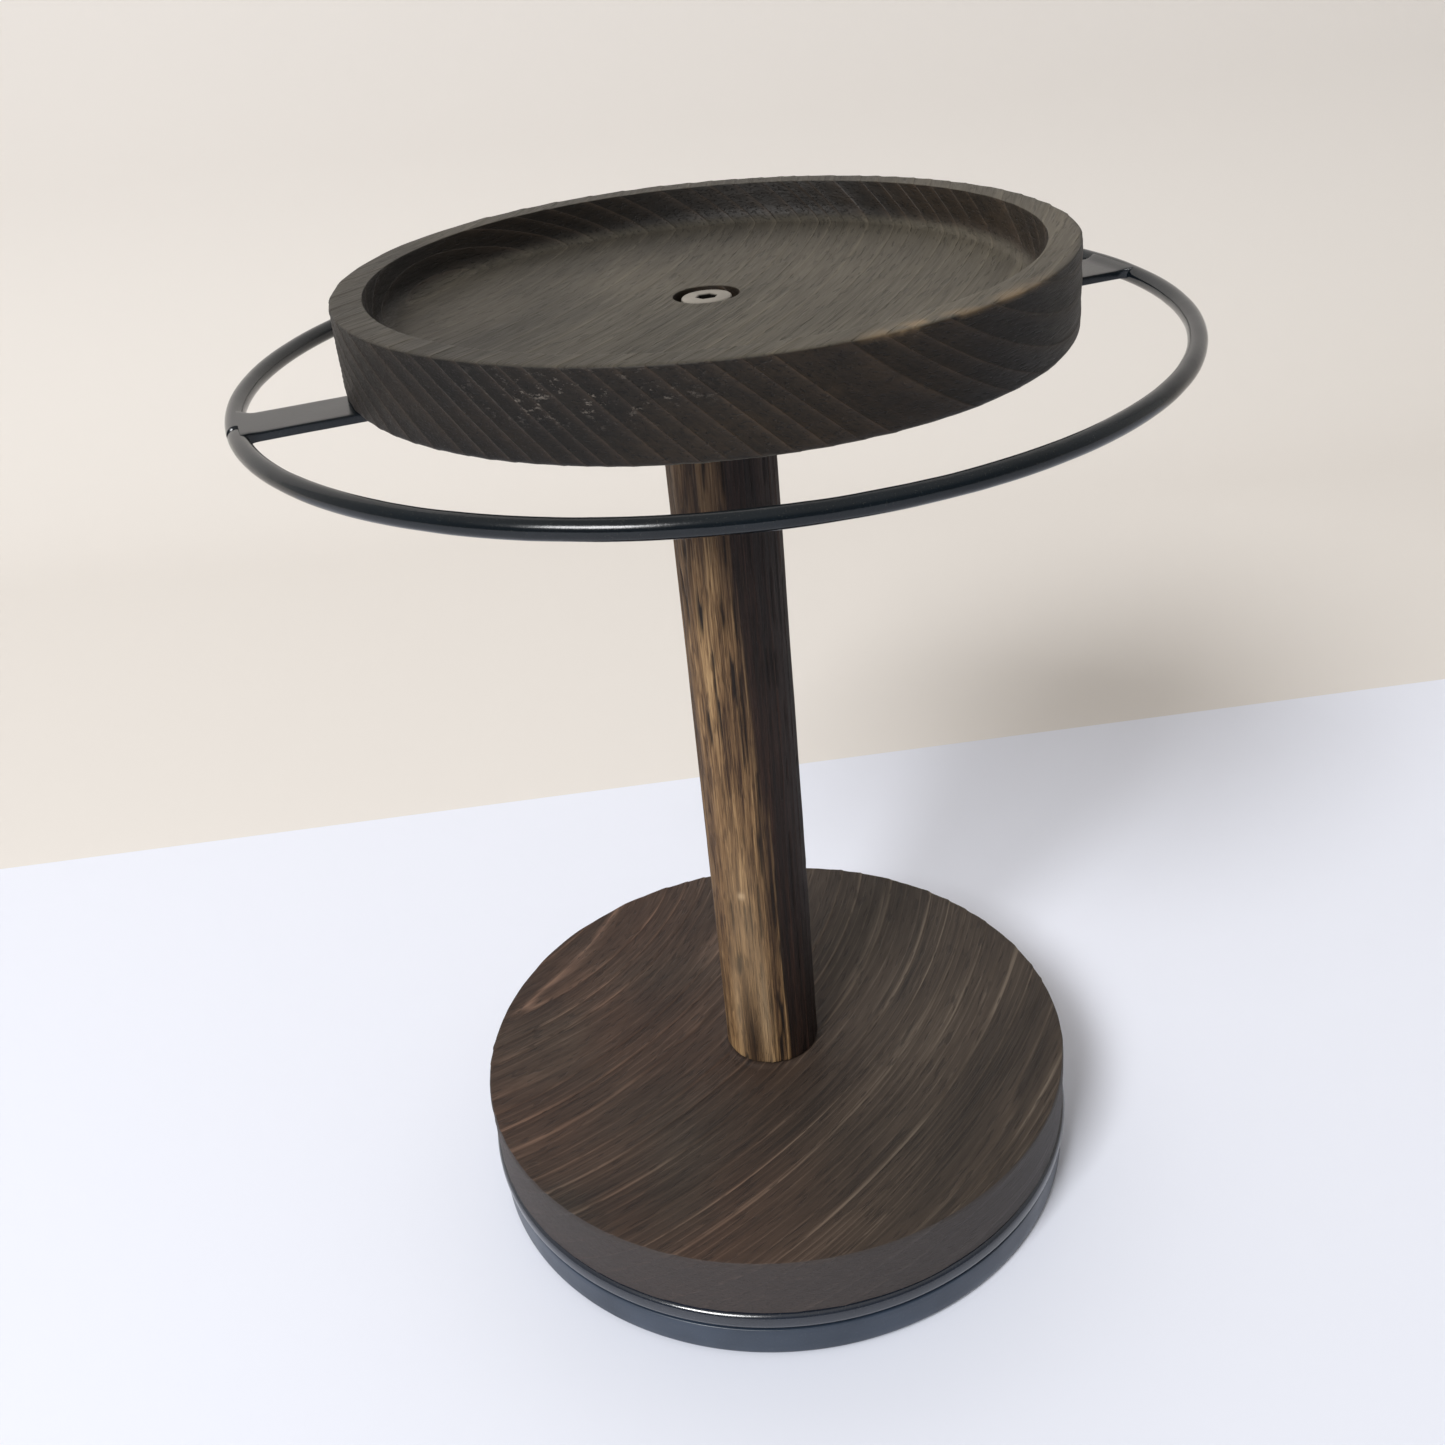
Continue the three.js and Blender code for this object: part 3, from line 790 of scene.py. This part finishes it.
STRAP_AZIMUTH = math.radians(18)
STRAP_HALF_WIDTH = 9 * MM
STRAP_FOOT, STRAP_TOP = heights_of("cross_strap")
STRAP_END = RING_RADIUS - 0.8 * MM
STRAP_EASING = 0.45 * MM
STRAP_EASING_STEPS = 4
STRAP_STATION_STEP = 1.2 * MM
STRAP_UNEVENNESS = 0.06 * MM
STRAP_PATCHES = 14 * MM
STRAP_SEED = 111
WELD_REACH = 5 * MM
WELD_FLARE = 2.2 * MM
WELD_RISE = 0.9 * (RING_TOP - STRAP_TOP)
DRILL_OVERRUN = 1 * MM


def looped_faces(loops, count):
    """Faces from each loop of count vertices to the next, and from the last loop back to the first."""
    faces = []
    for i in range(loops):
        low, high = i * count, (i + 1) % loops * count
        for j in range(count):
            k = (j + 1) % count
            faces.append((low + j, high + j, high + k, low + k))
    return faces


def capped_faces(loops, count):
    """Faces from each loop to the next, and over both ends. Seen from the last, loops run anticlockwise."""
    sides = [face[::-1] for face in looped_faces(loops, count)[:-count]]
    last = (loops - 1) * count
    return sides + [tuple(reversed(range(count))), tuple(range(last, last + count))]


def ring_azimuths():
    """Even steps round the ring, with finer ones near the seam where the bar's two ends meet."""
    even = np.arange(RING_STATIONS) * 2 * math.pi / RING_STATIONS
    away = even[np.abs(even - SEAM_AZIMUTH) > SEAM_REACH / RING_RADIUS]
    near_seam = np.arange(-SEAM_REACH, SEAM_REACH, SEAM_STEP) / RING_RADIUS + SEAM_AZIMUTH
    return np.sort(np.concatenate([away, near_seam]))


def around_ring(azimuth, radius, height):
    return np.stack([radius * np.cos(azimuth), radius * np.sin(azimuth), height], axis=-1).reshape(-1, 3)


def ring_vertices(azimuths):
    """Loops round the bar, a little uneven, with a notch at the seam and a drop just after it."""
    sides = 2 * math.pi * np.arange(BAR_SIDES) / BAR_SIDES
    azimuth, side = np.meshgrid(azimuths, sides, indexing="ij")
    from_seam = (azimuth - SEAM_AZIMUTH) * RING_RADIUS
    deepest_outside = 0.35 + 0.65 * np.cos(side / 2) ** 2
    notch = SEAM_DEPTH * np.exp(-(from_seam / SEAM_HALF_WIDTH) ** 2) * deepest_outside
    spots = around_ring(azimuth, RING_RADIUS, BAR_PATCH_SPREAD * np.sin(side))
    uneven = BAR_UNEVENNESS * noise(spots / BAR_PATCHES, RING_SEED, 2).reshape(side.shape)
    bar = BAR_RADIUS - notch - np.maximum(uneven, 0)
    drop = SEAM_DROP * np.exp(-np.maximum(from_seam, 0) / SEAM_DROP_REACH) * (from_seam > 0)
    middle_height = (RING_FOOT + RING_TOP) / 2
    return around_ring(azimuth, RING_RADIUS + bar * np.cos(side), middle_height - drop + bar * np.sin(side))


def add_hanging_ring():
    azimuths = ring_azimuths()
    faces = looped_faces(len(azimuths), BAR_SIDES)
    mesh_piece("hanging_ring", ring_vertices(azimuths), faces, black_paint, TURNING_BODY)


def strap_section():
    """A closed loop of (across, height) points round the strap: a rectangle with rounded corners."""
    left, right = STRAP_EASING - STRAP_HALF_WIDTH, STRAP_HALF_WIDTH - STRAP_EASING
    low, high = STRAP_FOOT + STRAP_EASING, STRAP_TOP - STRAP_EASING
    points = []
    for across, height, first in ((right, high, 0), (left, high, 90), (left, low, 180), (right, low, 270)):
        for turn in np.radians(first + np.linspace(0, 90, STRAP_EASING_STEPS + 1)):
            points.append((across + STRAP_EASING * math.cos(turn), height + STRAP_EASING * math.sin(turn)))
    divided = []
    for start, end in zip(np.array(points), np.array(points[1:] + points[:1])):
        pieces = max(1, round(math.hypot(*(end - start)) / STRAP_STATION_STEP))
        divided += [start + (end - start) * k / pieces for k in range(pieces)]
    return np.array(divided)


def add_cross_strap():
    """A flat bar whose ends flare and rise into the ring, as a weld ground flush does."""
    stations = np.linspace(-STRAP_END, STRAP_END, round(2 * STRAP_END / STRAP_STATION_STEP) + 1)
    base = strap_section()
    is_upper = base[:, 1] > (STRAP_FOOT + STRAP_TOP) / 2
    rows = []
    for station in stations:
        into_weld = smooth_step(abs(station), STRAP_END - WELD_REACH, STRAP_END)
        section = base.copy()
        section[:, 0] *= 1 + WELD_FLARE / STRAP_HALF_WIDTH * into_weld ** 2
        section[:, 1] += WELD_RISE * into_weld * is_upper
        rows.append(np.column_stack([np.full(len(section), station), section]))
    vertices = np.vstack(rows)
    vertices[:, 2] -= STRAP_UNEVENNESS * (noise(vertices / STRAP_PATCHES, STRAP_SEED, 2) + 1)
    vertices = vertices @ np.array(Matrix.Rotation(STRAP_AZIMUTH, 3, "Z")).T
    faces = capped_faces(len(stations), len(base))
    strap = mesh_piece("cross_strap", vertices, faces, black_paint, TURNING_BODY)
    drill(strap, 0, 0, BOLT_HOLE_RADIUS, STRAP_FOOT, STRAP_TOP)


def drill(piece, x, y, radius, foot, top):
    """Cuts an upright round hole right through a piece."""
    foot, top = foot - DRILL_OVERRUN, top + DRILL_OVERRUN
    corners = plain_corners([(0, foot, 0), (radius, foot, 0), (radius, top, 0), (0, top, 0)])
    vertices, _, faces = turned_surface(corners, PLAIN_STEP)
    subtract(piece, vertices + np.array((x, y, 0)), faces)


def subtract(piece, vertices, faces):
    cutter_mesh = bpy.data.meshes.new("cutter")
    cutter_mesh.from_pydata(vertices.tolist(), [], faces)
    cutter = add_object("cutter", cutter_mesh)
    modifier = piece.modifiers.new("cut", "BOOLEAN")
    modifier.operation = "DIFFERENCE"
    modifier.solver = "EXACT"
    modifier.object = cutter
    bpy.context.view_layer.update()
    result = bpy.data.meshes.new_from_object(piece.evaluated_get(bpy.context.evaluated_depsgraph_get()))
    piece.modifiers.clear()
    piece.data = result
    bpy.data.objects.remove(cutter)
    piece.data.set_sharp_from_angle(angle=SHARP_ANGLE)


# ---- steel pans

PAN_SPACING = 2.4 * MM
PAN_STEP = 2.5 * MM
SHEET = 1.25 * MM
BAND_RADIUS = radius_of("base_pan")
BAND_FOOT, BAND_TOP = heights_of("base_pan")
BAND_BEND = 1.75 * MM
LIP_RADIUS = radius_of("turntable_pan")
PAN_FOOT, LIP_TOP = heights_of("turntable_pan")
LIP_THICKNESS = 3 * MM
LIP_FOOT_BEND = 2.5 * MM
LIP_TOP_ROUNDING = 2 * MM
LIP_INNER_ROUNDING = 0.6 * MM
SCREW_CIRCLE = 67 * MM
ACCESS_RADIUS = 5.5 * MM


def add_turntable_pan():
    inside = LIP_RADIUS - LIP_THICKNESS
    vertices, _, faces = turned_surface([
        (BOLT_HOLE_RADIUS, PAN_FOOT, 0, PAN_STEP),
        (LIP_RADIUS, PAN_FOOT, LIP_FOOT_BEND, PAN_STEP),
        (LIP_RADIUS, LIP_TOP, LIP_TOP_ROUNDING, PAN_STEP),
        (inside, LIP_TOP, LIP_INNER_ROUNDING, PAN_STEP),
        (inside, PAN_FOOT + SHEET, LIP_INNER_ROUNDING, PAN_STEP),
        (BOLT_HOLE_RADIUS, PAN_FOOT + SHEET, 0, PAN_STEP),
    ], PAN_SPACING)
    mesh_piece("turntable_pan", vertices, faces, pan_paint, TURNING_BODY)


def add_base_pan():
    inside = BAND_RADIUS - SHEET
    vertices, _, faces = turned_surface([
        (0, BAND_FOOT, 0, PAN_STEP),
        (BAND_RADIUS, BAND_FOOT, BAND_BEND, PAN_STEP),
        (BAND_RADIUS, BAND_TOP, 0.4 * MM, PAN_STEP),
        (inside, BAND_TOP, 0.4 * MM, PAN_STEP),
        (inside, BAND_FOOT + SHEET, 0.5 * MM, PAN_STEP),
        (0, BAND_FOOT + SHEET, 0, ON_AXIS),
    ], PAN_SPACING)
    pan = mesh_piece("base_pan", vertices, faces, band_paint, STILL_BODY)
    drill(pan, SCREW_CIRCLE, 0, ACCESS_RADIUS, BAND_FOOT, BAND_FOOT + SHEET)


# ---- small parts

FINE_SPACING = 0.7 * MM
BOLT_RADIUS = 4 * MM
HEAD_RADIUS = 7 * MM
SOCKET_SIDES = 6
SOCKET_CORNER = 5 / math.sqrt(3) * MM
SOCKET_DEPTH = 2.5 * MM
SOCKET_TURN = math.radians(12)
SOCKET_CHAMFER = 0.35 * MM
SOCKET_MOUTH = 1.14
RIVET_TAIL_SHARE = 0.8
RIVET_SHANK_SHARE = 0.5
RIVET_DOME_SHARE = 0.85
BALL_ROUNDING_SHARE = 0.999


def add_small_piece(name, corners, finish, body):
    """A small turned piece that stands where the CAD node of its name does. Heights are the real ones."""
    vertices, _, faces = turned_surface(plain_corners(corners), FINE_SPACING)
    low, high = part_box(name)
    middle = (low + high) / 2
    vertices += np.array((middle.x, middle.y, 0))
    return mesh_piece(name, vertices, faces, finish, body)


def cut_hex_socket(bolt, top):
    """A hexagonal socket with a chamfered mouth."""
    turns = SOCKET_TURN + 2 * math.pi * np.arange(SOCKET_SIDES) / SOCKET_SIDES
    hexagon = SOCKET_CORNER * np.column_stack([np.cos(turns), np.sin(turns)])
    floor, mouth = top - SOCKET_DEPTH, top - SOCKET_CHAMFER
    levels = ((1, floor), (1, mouth), (SOCKET_MOUTH, top), (SOCKET_MOUTH, top + DRILL_OVERRUN))
    socket = np.vstack([np.column_stack([scale * hexagon, np.full(SOCKET_SIDES, z)]) for scale, z in levels])
    subtract(bolt, socket, capped_faces(len(levels), SOCKET_SIDES))
    # marks the socket's inside, which the material darkens as painted shade
    spots = np.array([vertex.co for vertex in bolt.data.vertices])
    inside = from_axis(spots) < 1.1 * SOCKET_CORNER
    below_mouth = (spots[:, 2] < top - 0.2 * MM) & (spots[:, 2] > top - 1.1 * SOCKET_DEPTH)
    store(bolt, "recess", (inside & below_mouth).astype(float))


def add_tray_bolt():
    tip, top = heights_of("tray_bolt")
    bolt = add_small_piece("tray_bolt", [
        (0, tip, 0),
        (BOLT_RADIUS, tip, 0.9 * MM),
        (BOLT_RADIUS, TRAY_BOLT_SEAT, 0.1 * MM),
        (HEAD_RADIUS, TRAY_BOLT_SEAT, 0.2 * MM),
        (HEAD_RADIUS, top, 0.7 * MM),
        (0, top, 0),
    ], bolt_steel, TURNING_BODY)
    cut_hex_socket(bolt, top)


def add_feet():
    for index in range(4):
        name = f"foot_{index + 1}"
        radius = radius_of(name)
        foot, top = heights_of(name)
        add_small_piece(name, [
            (0, foot, 0),
            (radius, foot, 0.3 * MM),
            (radius, top, 0.2 * MM),
            (0, top, 0),
        ], foot_rubber, STILL_BODY)


def add_rivets():
    _, race_top = heights_of("inner_race")
    for index in range(4):
        name = f"race_rivet_{index + 1}"
        tail, head = heights_of(name)
        radius = radius_of(name)
        add_small_piece(name, [
            (0, tail, 0),
            (RIVET_TAIL_SHARE * radius, tail, 0.5 * MM),
            (RIVET_TAIL_SHARE * radius, BAND_FOOT, 0),
            (RIVET_SHANK_SHARE * radius, BAND_FOOT, 0),
            (RIVET_SHANK_SHARE * radius, race_top, 0),
            (radius, race_top, 0.1 * MM),
            (RIVET_DOME_SHARE * radius, head, 1.0 * MM),
            (0, head, 0),
        ], zinc_steel, STILL_BODY)


def add_balls():
    for index in range(12):
        name = f"ball_{index + 1:02d}"
        low, high = heights_of(name)
        radius = (high - low) / 2
        add_small_piece(name, [
            (0, low, 0),
            (radius, low, BALL_ROUNDING_SHARE * radius),
            (radius, high, BALL_ROUNDING_SHARE * radius),
            (0, high, 0),
        ], ball_steel, CAGE_BODY)


def dress(node, material):
    """Gives a CAD node that stays in view its material, eased edges and smooth round walls."""
    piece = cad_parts[node]
    piece.data.materials.clear()
    piece.data.materials.append(material)
    piece.data.polygons.foreach_set("use_smooth", [True] * len(piece.data.polygons))
    bevel = piece.modifiers.new("eased_edges", "BEVEL")
    bevel.width = 0.2 * MM
    bevel.segments = 2
    bevel.limit_method = "ANGLE"
    bevel.angle_limit = SHARP_ANGLE
    bevel.harden_normals = True


def dress_remaining_nodes():
    for node in ("inner_race", "outer_race"):
        dress(node, race_aluminium())
    dress("ball_cage", cage_plastic())
    dress("base_bolt", bolt_steel())
    for node in ("tray_washer", "base_washer", "post_insert_bottom", "post_insert_top"):
        dress(node, zinc_steel())
    for index in range(4):
        dress(f"race_screw_{index + 1}", zinc_steel())


# ---- wood materials

FIBRE_STRETCH = (1500, 60, 1500)
STREAK_STRETCH = (380, 13, 380)
CLOUD_STRETCH = (60, 14, 60)
PORE_STRETCH = (1300, 130, 1300)
CHIP_STRETCH = (700, 260, 700)
CHIP_GROUP_STRETCH = (190, 60, 190)
LINE_END = 0.95
FINE_LINES_PER_RING = 3.3
RING_LINE_RELIEF = 0.18 * MM
PORE_RELIEF = 0.12 * MM
CHIP_RELIEF = 0.3 * MM


class WoodFinish(Finish):
    """Brushed, darkened wood: rings, fibres, streaks and pores, in the colour and in the relief."""

    def __init__(
        self, name, tones, line_share, line_sharpness, streak_share, fibre_share, wander, roughness, gloss,
    ):
        super().__init__(name, gloss, ior=1.5)
        self.space = self.attribute("grain", "Vector")
        rings = self.attribute("rings")
        lines = self.ring_lines(rings, line_sharpness)
        fine_lines = self.ring_lines(self.product(rings, FINE_LINES_PER_RING), 0.6 * line_sharpness)
        fibres = self.grain_noise(FIBRE_STRETCH, 4.0, 0.62, wander)
        streaks = self.grain_noise(STREAK_STRETCH, 3.0, 0.55, wander)
        clouds = self.grain_noise(CLOUD_STRETCH, 2.0)
        pores = self.spread(self.grain_noise(PORE_STRETCH, 1.0), 0.60, 0.68)
        broken = self.spread(streaks, 0.35, 0.6)
        tone = self.total(
            self.product(lines, broken, line_share),
            self.product(fine_lines, 0.35 * line_share),
            self.spread(fibres, 0.3, 0.7, -fibre_share, fibre_share),
            self.spread(streaks, 0.3, 0.7, -0.7 * streak_share, streak_share),
            self.spread(clouds, 0.3, 0.7, 0.12, 0.38),
        )
        self.colour = self.ramp(tone, (0.0, tones[0]), (0.4, tones[1]), (1.0, tones[2]))
        self.cover(self.product(pores, 0.55), tones[0])
        self.rough = self.spread(fibres, 0.3, 0.7, roughness + 0.08, roughness - 0.06)
        self.relief = self.bump(fibres, 1.4 * fibre_share * MM)
        self.relief = self.bump(streaks, 1.4 * streak_share * MM, self.relief)
        self.relief = self.bump(lines, RING_LINE_RELIEF, self.relief)
        self.dent(pores, PORE_RELIEF)

    def ring_lines(self, rings, sharpness):
        """Narrow lines of late wood: a slow rise through each ring, and a quick fall where it ends."""
        share = self.math("FRACT", rings)
        rise = self.math("POWER", share, sharpness)
        return self.product(rise, self.spread(share, LINE_END, 1.0, 1.0, 0.0))

    def grain_noise(self, stretch, detail, roughness=0.5, wander=0.0):
        """Noise drawn out along the fibres."""
        return self.noise(self.stretched(self.space, stretch), 1.0, detail, roughness, wander)

    def times(self, factors):
        """The colour so far, multiplied."""
        return self.mix(1.0, self.colour, factors, "MULTIPLY")

    def cover(self, share, colour):
        self.colour = self.mix(share, self.colour, colour)

    def dent(self, share, depth):
        self.relief = self.bump(self.product(share, -1.0), depth, self.relief)

    def finished(self):
        return self.done(base_color=self.colour, roughness=self.rough, normal=self.relief)


@cache
def tray_wood():
    """Sanded and olive-grey on the rim and floor, with painted shade over parts of them; rough and redder on
    the walls, which painted shade makes nearly black.
    """
    wood = WoodFinish(
        "tray_wood",
        tones=((0.034, 0.030, 0.022), (0.082, 0.071, 0.052), (0.155, 0.133, 0.096)),
        line_share=0.38, line_sharpness=9.0, streak_share=0.09, fibre_share=0.08,
        wander=0.3, roughness=0.56, gloss=0.3,
    )
    # painted shade: the rim's shadow over the dish's left and back, and the shaded right of the outer wall
    wood.cover(wood.attribute("shade"), wood.times((0.57, 0.57, 0.59)))
    # upright faces get the colour squared and tinted: redder, and darker as painted shade
    wood.cover(wood.attribute("walls"), wood.mix(1.0, wood.times(wood.colour), (3.1, 2.6, 2.45), "MULTIPLY"))
    wall_lines = wood.product(wood.ring_lines(wood.attribute("rings"), 5.0), wood.attribute("walls"))
    wood.cover(wood.product(wall_lines, 0.25), (0.085, 0.062, 0.047))
    wood.cover(wood.product(wood.attribute("wear"), 0.8), (0.26, 0.18, 0.10))
    specks = wood.spread(wood.grain_noise(CHIP_STRETCH, 4.0, 0.75), 0.57, 0.63)
    groups = wood.spread(wood.grain_noise(CHIP_GROUP_STRETCH, 2.0), 0.44, 0.56)
    chips = wood.product(specks, groups, wood.attribute("chips"))
    wood.cover(wood.product(chips, 0.8), (0.23, 0.20, 0.17))
    wood.dent(chips, CHIP_RELIEF)
    return wood.finished()


@cache
def disc_wood():
    """Nearly black brown with clear pale ring lines, redder in places, and plainer and greyer on the wall,
    where the grey is a painted reflection of the pale table.
    """
    wood = WoodFinish(
        "disc_wood",
        tones=((0.014, 0.010, 0.008), (0.046, 0.033, 0.024), (0.150, 0.120, 0.092)),
        line_share=1.15, line_sharpness=14.0, streak_share=0.10, fibre_share=0.12,
        wander=0.3, roughness=0.62, gloss=0.4,
    )
    wood.cover(wood.attribute("red"), wood.times((1.14, 0.84, 0.75)))
    # on the wall the grain gives way to a flat greyer tone, a painted reflection of the pale table
    wood.cover(wood.attribute("walls"), wood.mix(0.8, wood.colour, (0.042, 0.035, 0.033)))
    return wood.finished()


@cache
def post_wood():
    """Warm brown and streaky, darker on one side, split along its fibres and rubbed pale in places, with
    painted shade at its top and foot.
    """
    wood = WoodFinish(
        "post_wood",
        tones=((0.038, 0.018, 0.009), (0.180, 0.101, 0.044), (0.49, 0.315, 0.150)),
        line_share=0.40, line_sharpness=5.0, streak_share=0.27, fibre_share=0.26,
        wander=1.1, roughness=0.66, gloss=0.35,
    )
    # darkens the darker side, patch and left, and paints the tray's shadow at the top and a contact shade at
    # the foot
    wood.cover(wood.attribute("darkness_and_painted_shade"), wood.times((0.095, 0.065, 0.080)))
    wood.cover(wood.attribute("fissures"), (0.012, 0.007, 0.005))
    wood.cover(wood.attribute("pale"), (0.52, 0.37, 0.22))
    return wood.finished()


# ---- metal, plastic and rubber materials

SCRATCH_STRETCH = (160, 160, 2600)
# colour of the painted shade inside a marked recess
SOCKET_PAINTED_SHADE = (0.02, 0.018, 0.016)


def smooth_finish(name, colour, dusty, roughness, relief_depth, gloss=0.5, **constants):
    """Paint, metal, plastic or rubber: cloudy tone, fine relief and scratches, and a little dust."""
    finish = Finish(name, gloss, **constants)
    place = finish.place()
    clouds = finish.noise(place, 40.0, 3.0)
    peel = finish.noise(place, 900.0, 2.0)
    scratches = finish.noise(finish.stretched(place, SCRATCH_STRETCH), 1.0, 2.0, 0.7)
    dust = finish.spread(finish.noise(place, 2600.0, 1.0), 0.66, 0.74)
    tone = finish.mix(finish.spread(clouds, 0.35, 0.65), colour, tuple(0.72 * channel for channel in colour))
    tone = finish.mix(finish.product(dust, 0.35), tone, dusty)
    # painted shade inside a marked recess, such as the bolt's socket
    tone = finish.mix(finish.attribute("recess"), tone, SOCKET_PAINTED_SHADE)
    rough = finish.spread(clouds, 0.3, 0.7, roughness - 0.06, roughness + 0.08)
    relief = finish.bump(peel, relief_depth)
    relief = finish.bump(scratches, 0.3 * relief_depth, relief)
    return finish.done(base_color=tone, roughness=rough, normal=relief)


@cache
def black_paint():
    return smooth_finish("black_paint", colour=(0.004, 0.007, 0.010), dusty=(0.06, 0.06, 0.05),
                         roughness=0.16, relief_depth=0.02 * MM, gloss=0.38)


@cache
def pan_paint():
    return smooth_finish("pan_paint", colour=(0.014, 0.019, 0.030), dusty=(0.12, 0.12, 0.12),
                         roughness=0.15, relief_depth=0.02 * MM, gloss=0.8)


@cache
def band_paint():
    return smooth_finish("band_paint", colour=(0.030, 0.045, 0.072), dusty=(0.13, 0.14, 0.15),
                         roughness=0.34, relief_depth=0.03 * MM)


@cache
def bolt_steel():
    return smooth_finish("bolt_steel", colour=(0.40, 0.375, 0.33), dusty=(0.16, 0.14, 0.11),
                         roughness=0.42, relief_depth=0.04 * MM, metallic=0.85)


@cache
def zinc_steel():
    return smooth_finish("zinc_steel", colour=(0.55, 0.55, 0.53), dusty=(0.25, 0.24, 0.22),
                         roughness=0.36, relief_depth=0.03 * MM, metallic=0.95)


@cache
def ball_steel():
    return smooth_finish("ball_steel", colour=(0.75, 0.75, 0.76), dusty=(0.40, 0.38, 0.36),
                         roughness=0.14, relief_depth=0.004 * MM, metallic=1.0)


@cache
def race_aluminium():
    return smooth_finish("race_aluminium", colour=(0.66, 0.67, 0.69), dusty=(0.30, 0.30, 0.29),
                         roughness=0.4, relief_depth=0.03 * MM, metallic=1.0)


@cache
def cage_plastic():
    return smooth_finish("cage_plastic", colour=(0.66, 0.64, 0.58), dusty=(0.40, 0.38, 0.34),
                         roughness=0.5, relief_depth=0.03 * MM, subsurface_weight=0.1)


@cache
def foot_rubber():
    return smooth_finish("foot_rubber", colour=(0.022, 0.022, 0.023), dusty=(0.16, 0.15, 0.14),
                         roughness=0.78, relief_depth=0.08 * MM)


# ---- stage and light

TABLE_TOP = 0.0
TABLE_THICKNESS = 12 * MM
TABLE_EDGE = 249 * MM
TABLE_TURN = math.radians(4.5)
TABLE_HALF_LENGTH = 1.6
BACKDROP_FLOOR = -30 * MM
BACKDROP_BACK = 0.9
BACKDROP_HEIGHT = 2.0
BACKDROP_BEND = 0.25
BACKDROP_BEND_STEPS = 12
LIGHT_FROM = Vector((-0.40, -0.63, 0.67))
LIGHT_DISTANCE = 4.0
LIGHT_SIZE = 1.25
LIGHT_WATTS = 155
ROOM_COLOUR = (0.82, 0.79, 0.75, 1.0)
ROOM_BRIGHT = 0.63
ROOM_DIM = 0.12
ROOM_BEHIND = (-0.6, 0.2)
ROOM_ABOVE = (0.35, 0.8)


def stage_finish(name, colour, roughness):
    return Finish(name, base_color=(*colour, 1.0), roughness=roughness).material


def add_stage_mesh(name, vertices, faces, material, smooth):
    add_object(name, new_mesh(name, vertices, faces, material, smooth))


def add_table():
    slope = math.tan(TABLE_TURN)
    corners = [
        (-TABLE_HALF_LENGTH, TABLE_EDGE - slope * TABLE_HALF_LENGTH),
        (TABLE_HALF_LENGTH, TABLE_EDGE + slope * TABLE_HALF_LENGTH),
        (TABLE_HALF_LENGTH, -2 * TABLE_HALF_LENGTH),
        (-TABLE_HALF_LENGTH, -2 * TABLE_HALF_LENGTH),
    ]
    vertices = [(x, y, TABLE_TOP - drop) for drop in (0, TABLE_THICKNESS) for x, y in corners]
    faces = [(3, 2, 1, 0), (4, 5, 6, 7)] + [(i, (i + 1) % 4, 4 + (i + 1) % 4, 4 + i) for i in range(4)]
    material = stage_finish("table_white", (0.785, 0.815, 0.91), 0.55)
    add_stage_mesh("table", vertices, faces, material, smooth=False)


def add_backdrop():
    middle_y, middle_z = BACKDROP_BACK - BACKDROP_BEND, BACKDROP_FLOOR + BACKDROP_BEND
    turns = np.radians(np.linspace(-90, 0, BACKDROP_BEND_STEPS + 1))
    bend = [(middle_y + BACKDROP_BEND * math.cos(t), middle_z + BACKDROP_BEND * math.sin(t)) for t in turns]
    outline = [(-2 * TABLE_HALF_LENGTH, BACKDROP_FLOOR)] + bend + [(BACKDROP_BACK, BACKDROP_HEIGHT)]
    vertices = [(side * 1.5 * TABLE_HALF_LENGTH, y, z) for y, z in outline for side in (-1, 1)]
    faces = [(2 * i, 2 * i + 1, 2 * i + 3, 2 * i + 2) for i in range(len(outline) - 1)]
    material = stage_finish("backdrop_warm", (0.735, 0.700, 0.662), 0.9)
    add_stage_mesh("backdrop", vertices, faces, material, smooth=True)


def add_light():
    data = bpy.data.lights.new("key_light", "AREA")
    data.energy = LIGHT_WATTS
    data.size = LIGHT_SIZE
    light = add_object("key_light", data)
    target = Vector((0, 0, (cad_box[0][2] + cad_box[1][2]) / 2))
    light.location = target + LIGHT_FROM.normalized() * LIGHT_DISTANCE
    light.rotation_euler = (-LIGHT_FROM).to_track_quat("-Z", "Y").to_euler()


def add_room():
    """Soft light from above and behind. The room in front is dim, though it looks pale itself."""
    world = bpy.data.worlds.new("room")
    world.use_nodes = True
    nodes = Nodes(world.node_tree)
    direction = nodes.node("ShaderNodeTexCoord", {}, "Generated")
    behind = nodes.spread(nodes.node("ShaderNodeSeparateXYZ", {0: direction}, "Y"), *ROOM_BEHIND)
    above = nodes.spread(nodes.node("ShaderNodeSeparateXYZ", {0: direction}, "Z"), *ROOM_ABOVE)
    strength = nodes.spread(nodes.math("MAXIMUM", behind, above), 0.0, 1.0, ROOM_DIM, ROOM_BRIGHT)
    seen = nodes.node("ShaderNodeLightPath", {}, "Is Camera Ray")
    background = world.node_tree.nodes["Background"]
    background.inputs["Color"].default_value = ROOM_COLOUR
    world.node_tree.links.new(nodes.math("MAXIMUM", strength, seen), background.inputs["Strength"])
    bpy.context.scene.world = world


# ---- assembly


add_camera()
add_tray()
add_post()
add_base_disc()
add_hanging_ring()
add_cross_strap()
add_turntable_pan()
add_base_pan()
add_tray_bolt()
add_feet()
add_rivets()
add_balls()
dress_remaining_nodes()
add_table()
add_backdrop()
add_light()
add_room()
bpy.context.scene.view_settings.view_transform = "Standard"
